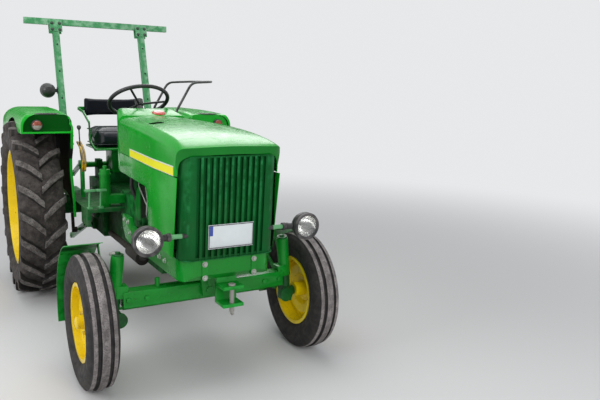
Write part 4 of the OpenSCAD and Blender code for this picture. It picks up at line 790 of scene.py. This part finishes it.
for side, s in sides:
    dressed("rear_rim_" + side, "rear_wheel_disc_" + side, rim_yellow, 0.003, 3,
            ready=eased_shaft)
    hub = at(0, s * rear_side, rear_radius)
    carcass = turned(both_ways(rear_half), hub, side=s, turns=120)
    points = []
    for (across, lead), (_, trail), top, foot in zip(lug_lead, lug_trail, lug_top, lug_foot):
        points += [tread_point(hub, round_x, across, radius, s) for round_x, radius in (
            (lead + 9, foot), (lead - 3, top), (trail + 3, top), (trail - 9, foot))]
    sections = len(lug_top)
    faces = [(4 * i + j, 4 * i + (j + 1) % 4, 4 * i + 4 + (j + 1) % 4, 4 * i + 4 + j)
             for i in range(sections - 1) for j in range(4)]
    faces += [(3, 2, 1, 0), tuple(4 * sections - 4 + j for j in range(4))]
    mesh = bpy.data.meshes.new("lug")
    mesh.from_pydata(points, [], faces)
    lug = linked("lug", mesh)
    reworked(lug, lambda: bpy.ops.mesh.normals_make_consistent(inside=False))
    finish_edges(lug, 0.005, 2, angle=40)
    lugs = []
    for flank in (0, 1):
        for i in range(lug_count):
            copy = linked("lug", lug.data.copy())
            spin = Matrix.Rotation((i + flank / 2) * math.tau / lug_count, 4, "Y")
            flip = Matrix.Scale(-1, 4, (0, 1, 0)) if flank else Matrix.Identity(4)
            copy.data.transform(Matrix.Translation(hub) @ spin @ flip @ Matrix.Translation(-hub))
            if flank:
                copy.data.flip_normals()
            lugs.append(copy)
    bpy.data.objects.remove(lug)
    only(carcass)
    bpy.ops.object.shade_smooth()
    tyre = joined([carcass] + lugs)
    settled(tyre, "rear_tyre_tread_" + side, rear_rubber, 0.0, "rear_tyre_" + side,
            smooth=42, body="rear_wheel_" + side)
    tyre.data.materials.append(lug_rubber)
    tyre.data.materials.append(shade_rubber)
    for face in tyre.data.polygons:
        spoke = Vector((face.center.x - hub.x, 0, face.center.z - hub.z))
        outwards = face.normal.dot(spoke.normalized())
        if spoke.length > 0.638:
            face.material_index = 1 if outwards > 0.5 else 2
        elif abs(outwards) < 0.3 and spoke.length > 0.58 and abs(face.normal.y) < 0.6:
            face.material_index = 2

# Rear mudguards: deep pressed shells over the wheels, with a round marker in the front recess
# and black oval rubber caps on their tops. Each marker has an orange upper half and a clear lower half.
marker_base = paint("marker_base", (0.03, 0.03, 0.032), (0.02, 0.02, 0.022), dust=0.3, chips=0.1, rough=0.45,
                    coat=0.0)


def lens_plastic(name, colour):
    """Ribbed clear plastic in one colour."""
    made = material(name, 0.12, coat=0.5)
    tree = made.node_tree
    shader = tree.nodes["Principled BSDF"]
    shader.inputs["Transmission Weight"].default_value = 0.35
    wire(tree, (mixed(tree, steps(tree, noise(tree, 40, 4), 0.4, 0.7), colour,
                      tuple(0.7 * c for c in colour)), shader.inputs["Base Color"]))
    fluted(tree, 60, 0.0008, 0.6)
    return made


amber = lens_plastic("marker_amber", (0.42, 0.060, 0.016))
clear_plastic = lens_plastic("marker_clear", (0.46, 0.43, 0.37))
# The mudguards take a lighter green than the bonnet: painted light on their tops.
mudguard_lit_green = paint("mudguard_lit_green", (0.004, 0.400, 0.018), (0.003, 0.310, 0.016), dust=0.15, chips=0.4,
                       rough=0.22, coat=0.15, specular=0.16)
# A deep dark green for the right mudguard's front recess, as painted shade.
recess_shade_green = paint("recess_shade_green", (0.001, 0.070, 0.005), (0.001, 0.050, 0.004), dust=0.2, chips=0.3,
                     rough=0.35, coat=0.0, specular=0.08)
front_drop = [(486, 1404), (506, 1399), (516, 1386), (520, 1364)]
inner_side, outer_side, corner_radius = 0.438, 0.5, 0.062
roll_start, roll_run = -400, 200


def rolled_corner(shell):
    """Cuts the mudguard's inner upper corner into strips, and rolls them to the pressing's large radius."""
    bpy.context.view_layer.update()
    s = 1 if shell.data.vertices[0].co.y > 0 else -1
    crown = [(x, met(shell, at(x, s * 520, 1600), (0, 0, -1))[0].z * 1000) for x in range(-420, 480, 30)]
    crown = (crown + front_drop)[::-1]
    cuts = [(at(x, 0, 0), (1, 0, 0)) for x in range(-390, 500, 50)]
    cuts += [(at(0, s * (438 + 7.75 * i), 0), (0, 1, 0)) for i in range(1, 9)]
    cuts += [(at(0, 0, z), (0, 0, 1)) for z in range(1308, 1428, 8)]

    def cut():
        """Cuts the shell along each plane in turn."""
        for place, facing in cuts:
            bpy.ops.mesh.select_all(action="SELECT")
            bpy.ops.mesh.bisect(plane_co=place, plane_no=facing)

    reworked(shell, cut)
    for point in shell.data.vertices:
        x = point.co.x * 1000 + axle_x
        if x < roll_start:
            continue
        top = between(crown, x) / 1000
        a, b = inner_side + corner_radius - abs(point.co.y), point.co.z - top + corner_radius
        if a > 0 and b > 0:
            roll = 1 + min((x - roll_start) / roll_run, 1) * (max(a, b) / math.hypot(a, b) - 1)
            point.co.y = s * (outer_side - a * roll)
            point.co.z = top - corner_radius + b * roll


for side, s in sides:
    shell = dressed("fender_" + side, "rear_mudguard_" + side, mudguard_lit_green, 0.0025, 2,
                    ready=rolled_corner)
    # Undersides, inner walls and the faces inside the front are dull black: dirt and painted shade.
    dark_coated(shell, dirt_and_shade_black, lambda middle, facing: facing.z < -0.3 or (facing.y * middle.y > 0.01 and
          abs(middle.y) < 0.46) or (facing.y * middle.y < -0.2 and abs(middle.y) > 0.7) or
          (facing.x < -0.5 and middle.x > at(440, 0, 0).x and middle.z > 1.1))
    if side == "right":
        dark_coated(shell, recess_shade_green, lambda middle, facing: facing.x > 0.8 and middle.z > 1.272 and
              at(491, 0, 0).x < middle.x < at(502, 0, 0).x)
    centre = at(494.5, s * 680, 1327)
    base = turned([(0, 0.5), (38, 0.5), (38.5, 6), (37.5, 24), (35, 29), (30, 30), (0, 30)], centre, "X",
                  turns=48)
    settled(base, "marker_base_" + side, marker_base, 0.001, "marker_" + side)
    for part, heading, finish in (("upper", -1, amber), ("lower", 1, clear_plastic)):
        dome = turned([(0, 43), (14, 42.4), (24, 40), (30, 36), (32, 31), (32, 29.5), (0, 29.5)], centre, "X",
                      turns=48)
        reworked(dome, lambda: bpy.ops.mesh.bisect(plane_co=centre, plane_no=(0, 0, heading),
                                                   clear_outer=True, use_fill=True))
        settled(dome, "marker_lens_" + part + "_" + side, finish, 0.0008)
    place, facing = met(shell, at(478, s * 606, 1500), (0, 0, -1))
    pad = turned([(0, 8), (20, 7.6), (30, 6.2), (33.5, 3), (34, 0), (34, -3)], Vector((0, 0, 0)), "Z",
                 turns=40)
    pad.data.transform(stood(place, facing) @ Matrix.Diagonal((0.62, 2.5, 1, 1)))
    settled(pad, "mudguard_pad_" + side, lamp_black)
    bolts("mudguard_bolts_" + side, [at(x, s * 437.6, z) for x, z in ((470, 1190), (470, 1250), (380, 900),
                                                                      (-240, 1130), (20, 1180))],
          Vector((0, -s, 0)), 0.008, bright_steel)

# Engine: three air-cooled cylinders on a cast crankcase, in the same green, darkened by oil and dust and
# further as painted shade. The arched cover ducts the cooling air; its front is painted near black as painted
# shade. Round it run injection pipes, a filter and hoses.
# A dark green for the engine and castings, darkened for oil and dust and also as painted shade.
oily_and_shaded_green = paint("oily_and_shaded_green", (0.002, 0.070, 0.011), (0.003, 0.030, 0.006), dust=0.8, chips=0.8, rough=0.5,
                   dirt=(0.018, 0.015, 0.011), coat=0.0, specular=0.07, edge=(0.012, 0.15, 0.03), waves=0.003)
sooty_iron = paint("sooty_iron", (0.030, 0.028, 0.025), (0.012, 0.011, 0.010), dust=0.8, chips=0.5,
                   rough=0.65, dirt=(0.055, 0.036, 0.022), coat=0.0, specular=0.2, waves=0.003)
# A darker green for the duct cover, as painted shade; its front end is painted near black, also shade.
duct_shaded_green = paint("duct_shaded_green", (0.002, 0.150, 0.013), (0.002, 0.095, 0.009), dust=0.4, chips=0.6,
                   rough=0.36, coat=0.0, specular=0.08, edge=(0.012, 0.24, 0.04))
tree = duct_shaded_green.node_tree
along_cover = added(tree, "SeparateXYZ")
painted = tree.nodes["Principled BSDF"].inputs["Base Color"].links[0].from_socket
# The front end of the cover, painted near black as painted shade.
front_shade_mask = steps(tree, along_cover.outputs["X"], at(1302, 0, 0).x, at(1322, 0, 0).x)
wire(tree, (own_place(tree), along_cover.inputs[0]),
     (mixed(tree, front_shade_mask, painted, (0.003, 0.006, 0.003)),
      tree.nodes["Principled BSDF"].inputs["Base Color"]))
hose_black = paint("hose_black", (0.016, 0.016, 0.017), (0.010, 0.010, 0.010), dust=0.7, chips=0.0, rough=0.6,
                   dirt=(0.09, 0.08, 0.07), coat=0.0)
cable_grey = paint("cable_grey", (0.30, 0.30, 0.31), (0.20, 0.20, 0.21), dust=0.5, chips=0.2, rough=0.5,
                   coat=0.0)
dressed("engine_block", "crankcase_and_fan", oily_and_shaded_green, 0.005, 2)
dressed("cylinders", "finned_cylinders", sooty_iron, 0.0015, 2)
dressed("air_duct", "air_duct_cover", duct_shaded_green, 0.004, 3)
dressed("engine_fittings", "filter_and_starter", oily_and_shaded_green, 0.004, 3)
dressed("exhaust", "silencer_and_pipe", sooty_iron, 0.003, 3)


def bent(name, points, radius, coat, bend=0.03, sides=3, stands_for=None):
    """A bar, pipe or hose of round section along a line of points, with its corners bent round."""
    line = [points[0]]
    for a, b, c in zip(points, points[1:], points[2:]):
        into, out = (b - a).normalized(), (c - b).normalized()
        reach = min(bend * math.tan(into.angle(out) / 2), 0.48 * (b - a).length, 0.48 * (c - b).length)
        start, end = b - into * reach, b + out * reach
        for i in range(9):
            t = i / 8
            line.append(start * (1 - t) ** 2 + b * (2 * t * (1 - t)) + end * t ** 2)
    line.append(points[-1])
    bpy.ops.object.add(type="CURVE")
    bar = bpy.context.object
    bar.data.dimensions = "3D"
    spline = bar.data.splines.new("POLY")
    spline.points.add(len(line) - 1)
    for point, place in zip(spline.points, line):
        point.co = (*place, 1)
    bar.data.bevel_depth = radius
    bar.data.bevel_resolution = sides
    bar.data.use_fill_caps = True
    only(bar)
    bpy.ops.object.convert(target="MESH")
    return settled(bpy.context.object, name, coat, 0.0, stands_for, smooth=50)


for i, x in enumerate((1254, 1421, 1587)):
    bent("injection_pipe_%d" % (i + 1), [at(1488 + 14 * i, -158, 800), at(1488 + 14 * i, -196, 880 + 16 * i),
                                         at(x + 30, -196, 1000 + 10 * i), at(x + 30, -140, 1050),
                                         at(x + 30, -99, 1050)], 0.004, bright_steel, 0.04)
    injector = turned([(0, 34), (6, 33), (7, 26), (12, 25), (12, 14), (16, 13), (16, 0)],
                      at(x + 30, -99.5, 1040), "Y", side=-1, turns=12)
    settled(injector, "injector_%d" % (i + 1), bright_steel, 0.0005)
bent("filter_hose", [at(1610, -186, 1092), at(1610, -186, 1120), at(1548, -150, 1142), at(1408, -140, 1140),
                     at(1338, -104, 1100)], 0.011, hose_black, 0.06)
bent("heater_cable", [at(1700, -205, 1120), at(1640, -238, 1130), at(1500, -222, 1105), at(1400, -215, 1120),
                      at(1290, -205, 1090), at(1180, -190, 1125)], 0.007, cable_grey, 0.08)
bent("lamp_cable", [at(1700, -215, 1140), at(1600, -240, 1105), at(1450, -230, 1130), at(1330, -216, 1075),
                    at(1170, -196, 1140)], 0.005, cable_grey, 0.08)
bent("breather_hose", [at(1230, -60, 1125), at(1230, -150, 1140), at(1190, -205, 1080), at(1170, -205, 960),
                       at(1175, -170, 860)], 0.013, hose_black, 0.06)
bent("fuel_pipe", [at(1610, -232, 940), at(1610, -240, 860), at(1538, -200, 800), at(1498, -160, 770)], 0.005,
     bright_steel, 0.05)
bent("stay_bar", [at(1553, -170, 830), at(1700, -215, 745)], 0.007, arm_green, 0.02)
bowl = turned([(0, 872), (14, 874), (26, 884), (31, 900), (32, 925), (38, 927), (44.5, 932), (45, 962),
               (47, 966), (47, 974), (45, 978), (45, 1050), (47, 1054), (47, 1062), (40, 1066)],
               at(1610, -186, 0), "Z", turns=40)
settled(bowl, "filter_canister", oily_and_shaded_green)
pump = turned([(0, 0), (34, 0), (38, 3), (38, 20), (33, 24), (33, 60), (28, 64), (28, 90), (12, 92),
               (12, 108), (0, 108)], at(1503, -150, 790), "Y", side=-1, turns=24)
settled(pump, "injection_pump", oily_and_shaded_green, 0.001)
for i in range(4):
    clip = turned([(0, 14), (8, 13.5), (9, 6), (13, 5), (13, 0)], at(1258 + 110 * i, -70, 1130), "Z", turns=6)
    settled(clip, "cover_nut_%d" % (i + 1), bright_steel, 0.0006)

# Gearbox, rear axle and reservoir: cast housings bolted end to end, painted with the frame.
# The rear linkage hangs on steel pins; the drawbar is a forged plate below the axle.
# The gearbox and rear axle take the dark green, which is partly painted shade.
for node in ("gearbox", "rear_axle"):
    dressed(node, node + "_casting", oily_and_shaded_green, 0.006, 2)
dressed("oil_reservoir", "oil_reservoir_can", cast_green, 0.004, 3)
dressed("drawbar", "drawbar_forging", cast_green, 0.003)
dressed("lift_arms", "lift_arm_forgings", cast_green, 0.004)
dressed("hitch_pin", "hitch_pin_and_ring", bare_steel, 0.0012)
for side, s in sides:
    dressed("lower_link_" + side, "draft_link_" + side, cast_green, 0.003)
    dressed("lift_rod_" + side, "lift_link_" + side, sooty_iron, 0.002)
    bolts("axle_bolts_" + side, [at(112 * math.cos(a), s * 206.5, 668 + 112 * math.sin(a))
                                 for a in (math.tau * k / 8 + 0.2 for k in range(8))],
          Vector((0, s, 0)), 0.009, bright_steel)
bolts("bell_bolts", [at(758, y, z) for y in (-160, 160) for z in (520, 600, 700, 800, 860)],
      Vector((-1, 0, 0)), 0.008, bright_steel)

# Platform, pedals and levers: folded tread plate on each side of the gearbox, and two pedals. Two yellow arcs
# guide the hand lever, a black rod with a knob, and stand on a cast green bracket.
tread_green = paint("tread_green", (0.006, 0.13, 0.025), (0.006, 0.085, 0.018), dust=0.7, chips=1.0,
                    rough=0.6, coat=0.0, specular=0.12, edge=(0.06, 0.12, 0.06))
for side, s in sides:
    dressed("footplate_" + side, "platform_" + side, tread_green, 0.002)
dressed("pedals", "foot_pedals", arm_green, 0.0015)
lever_yellow = paint("lever_yellow", (0.85, 0.52, 0.006), (0.66, 0.36, 0.005), dust=0.3, chips=0.8,
                     rough=0.35, dirt=(0.10, 0.08, 0.05), coat=0.2, edge=(0.2, 0.15, 0.08))
arcs = []
for y, out in ((-345, 0), (-364, 2)):
    line = [at(412, y, 980), at(436 + out, y, 1030), at(430 + out, y, 1082), at(402 + out, y, 1126),
            at(340 + out, y, 1160), at(262 + out, y, 1184)]
    arcs.append(bent("lever_arc", line, 0.0085, lever_yellow, 0.16))
line = [at(400, -356, 985), at(352, -362, 1120), at(330, -362, 1284)]
bent("lever_rod", line, 0.005, lamp_black, 0.06)
knob = turned([(0, 38), (9, 36), (14, 30), (16, 22), (13, 12), (7, 4), (5.5, 0)], Vector((0, 0, 0)), "Z",
              turns=28)
knob.data.transform(Matrix.Translation(at(330, -362, 1278)))
settled(knob, "lever_knob", lamp_black)
quadrant = plank(at(384, -381, 777.6), at(420, -344, 1000))
reworked(quadrant, lambda: bpy.ops.mesh.inset(thickness=0.006, depth=-0.004),
         test=lambda face: abs(face.normal.y) > 0.9)
levers = joined(arcs)
settled(levers, "hand_levers", lever_yellow, 0.0, "levers", smooth=50)
settled(quadrant, "lever_bracket", cast_green, 0.003)

# Steering: a black column through the cowl, and a large wheel with a thin rim on black sprung spokes.
# All of it is satin black, a little polished by hands.
satin_black = paint("satin_black", (0.014, 0.014, 0.015), (0.009, 0.009, 0.010), dust=0.3, chips=0.3,
                    rough=0.38, dirt=(0.08, 0.075, 0.07), coat=0.15, edge=(0.07, 0.07, 0.07))
dressed("steering_column", "column_tube", satin_black, 0.0015)
dressed("steering_wheel", "steering_wheel_rim", satin_black, 0.0)

# Seat: a steel frame with sprung arms carries a cushion and a backrest, foam under black vinyl. Each cover is
# swelled as cloth, by a set reach at most. Two rows of piping run round the cushion.
dressed("seat_frame", "seat_frame_bars", cast_green, 0.0015)
vinyl = paint("seat_vinyl", (0.014, 0.017, 0.026), (0.009, 0.011, 0.017), dust=0.15, chips=0.0, rough=0.26,
              dirt=(0.05, 0.05, 0.055), coat=0.35, specular=0.5, waves=0.0015)
# The backrest's vinyl is a darker copy of the cushion's: painted shade on its upright face.
shaded_vinyl = paint("backrest_shaded_vinyl", (0.005, 0.006, 0.010), (0.003, 0.004, 0.007), dust=0.10, chips=0.0,
                   rough=0.40, dirt=(0.04, 0.04, 0.045), coat=0.0, specular=0.15, waves=0.0015)


def stuffed(piece, name, coat, reach, low, high, stands_for):
    """Swells a closed cover by pressure, as foam fills it, and holds it between two corners."""
    only(piece)
    piece.data.remesh_voxel_size = 0.006
    bpy.ops.object.voxel_remesh()
    flat = [point.co.copy() for point in piece.data.vertices]
    cover = piece.modifiers.new("cover", "CLOTH")
    cover.settings.use_pressure = True
    cover.settings.uniform_pressure_force = 4
    cover.settings.effector_weights.gravity = 0
    for step in range(1, 21):
        bpy.context.scene.frame_set(step)
    bpy.ops.object.modifier_apply(modifier="cover")
    for point, start in zip(piece.data.vertices, flat):
        moved = point.co - start
        if moved.length > reach:
            point.co = start + moved * (reach / moved.length)
    bpy.context.scene.frame_set(1)
    soften = piece.modifiers.new("soften", "SMOOTH")
    soften.iterations = 4
    bpy.ops.object.modifier_apply(modifier="soften")
    for point in piece.data.vertices:
        point.co = Vector([min(max(c, a), b) for c, a, b in zip(point.co, low, high)])
    finer = piece.modifiers.new("finer", "SUBSURF")
    finer.levels = finer.render_levels = 1
    bpy.ops.object.modifier_apply(modifier="finer")
    settled(piece, name, coat, 0.0, stands_for, smooth=60)
    return piece


low, high = at(-28, -243, 1142.5), at(358, 243, 1291)
cushion = plank(low + Vector((0.014, 0.016, 0.0)), high - Vector((0.016, 0.016, 0.016)))


def at_front(edge):
    """Picks the level edges at the front of the cushion, which are rolled."""
    a, b = (cushion.data.vertices[i].co for i in edge.vertices)
    return min(a.x, b.x) > at(300, 0, 0).x and abs(a.z - b.z) < 0.001


reworked(cushion, lambda: bpy.ops.mesh.bevel(offset=0.052, segments=8), parts="edges", test=at_front)
finish_edges(cushion, 0.014, 3, angle=50)
stuffed(cushion, "cushion_cover", vinyl, 0.026, low, high, "seat_cushion")
low, high = at(-177.5, -227, 1360.5), at(-119, 227, 1509)
back = plank(low + Vector((0.006, 0.002, 0.002)), high - Vector((0.006, 0.002, 0.002)))
finish_edges(back, 0.016, 4, angle=50)
stuffed(back, "backrest_cover", shaded_vinyl, 0.009, low, high, "seat_backrest")
for z, x_front in ((1268, 338), (1166, 338)):
    loop = [at(-20, -150, z), at(-20, -236, z), at(x_front, -236, z), at(x_front, 236, z), at(-20, 236, z),
            at(-20, -150, z)]
    bent("cushion_piping_%d" % z, loop, 0.0034, vinyl, 0.06)

# Roll bar: square tube in a lighter green, with bolted plates at the upper corners and feet on the axle.
# A work lamp sits on the right post; a bent black rail runs over the left mudguard.
bar_green = paint("bar_green", (0.075, 0.285, 0.120), (0.058, 0.24, 0.100), dust=0.2, chips=0.6, rough=0.4,
                  coat=0.0, specular=0.12, edge=(0.20, 0.40, 0.24))
bar = dressed("roll_bar", "roll_bar_tubes", bar_green, 0.005, 3)
bpy.context.view_layer.update()
dark_bolts = paint("dark_bolts", (0.035, 0.060, 0.040), (0.020, 0.034, 0.022), dust=0.3, chips=0.4, rough=0.4,
                   coat=0.0)
for side, s in sides:
    places = []
    for y in (330, 390):
        for z in (2062, 2114):
            place, facing = met(bar, at(200, s * y, z), (-1, 0, 0))
            places.append(place)
    bolts("plate_bolts_" + side, places, facing, 0.0095, dark_bolts)
    for z in (1500, 1720, 1940):
        place, facing = met(bar, at(300, s * 360, z), (-1, 0, 0))
        # Each hole is a thin black disc: painted shade for the dark inside of the hole.
        hole = turned([(0, 0.4), (7, 0.4), (7.4, 0)], Vector((0, 0, 0)), "Z", turns=20)
        hole.data.transform(stood(place, facing))
        settled(hole, "post_hole_%s_%d" % (side, z), dirt_and_shade_black)
dressed("work_lamp", "work_lamp_shell", satin_black, 0.002)
rail = [at(x, y, z) for x, turns in ((250, 1), (-355, -1))
        for y, z in ((427.7, 1340), (427.7, 1420), (560, 1650), (755, 1662))[::turns]]
bent("grab_rail_bar", rail, 0.010, satin_black, 0.09, stands_for="grab_rail")
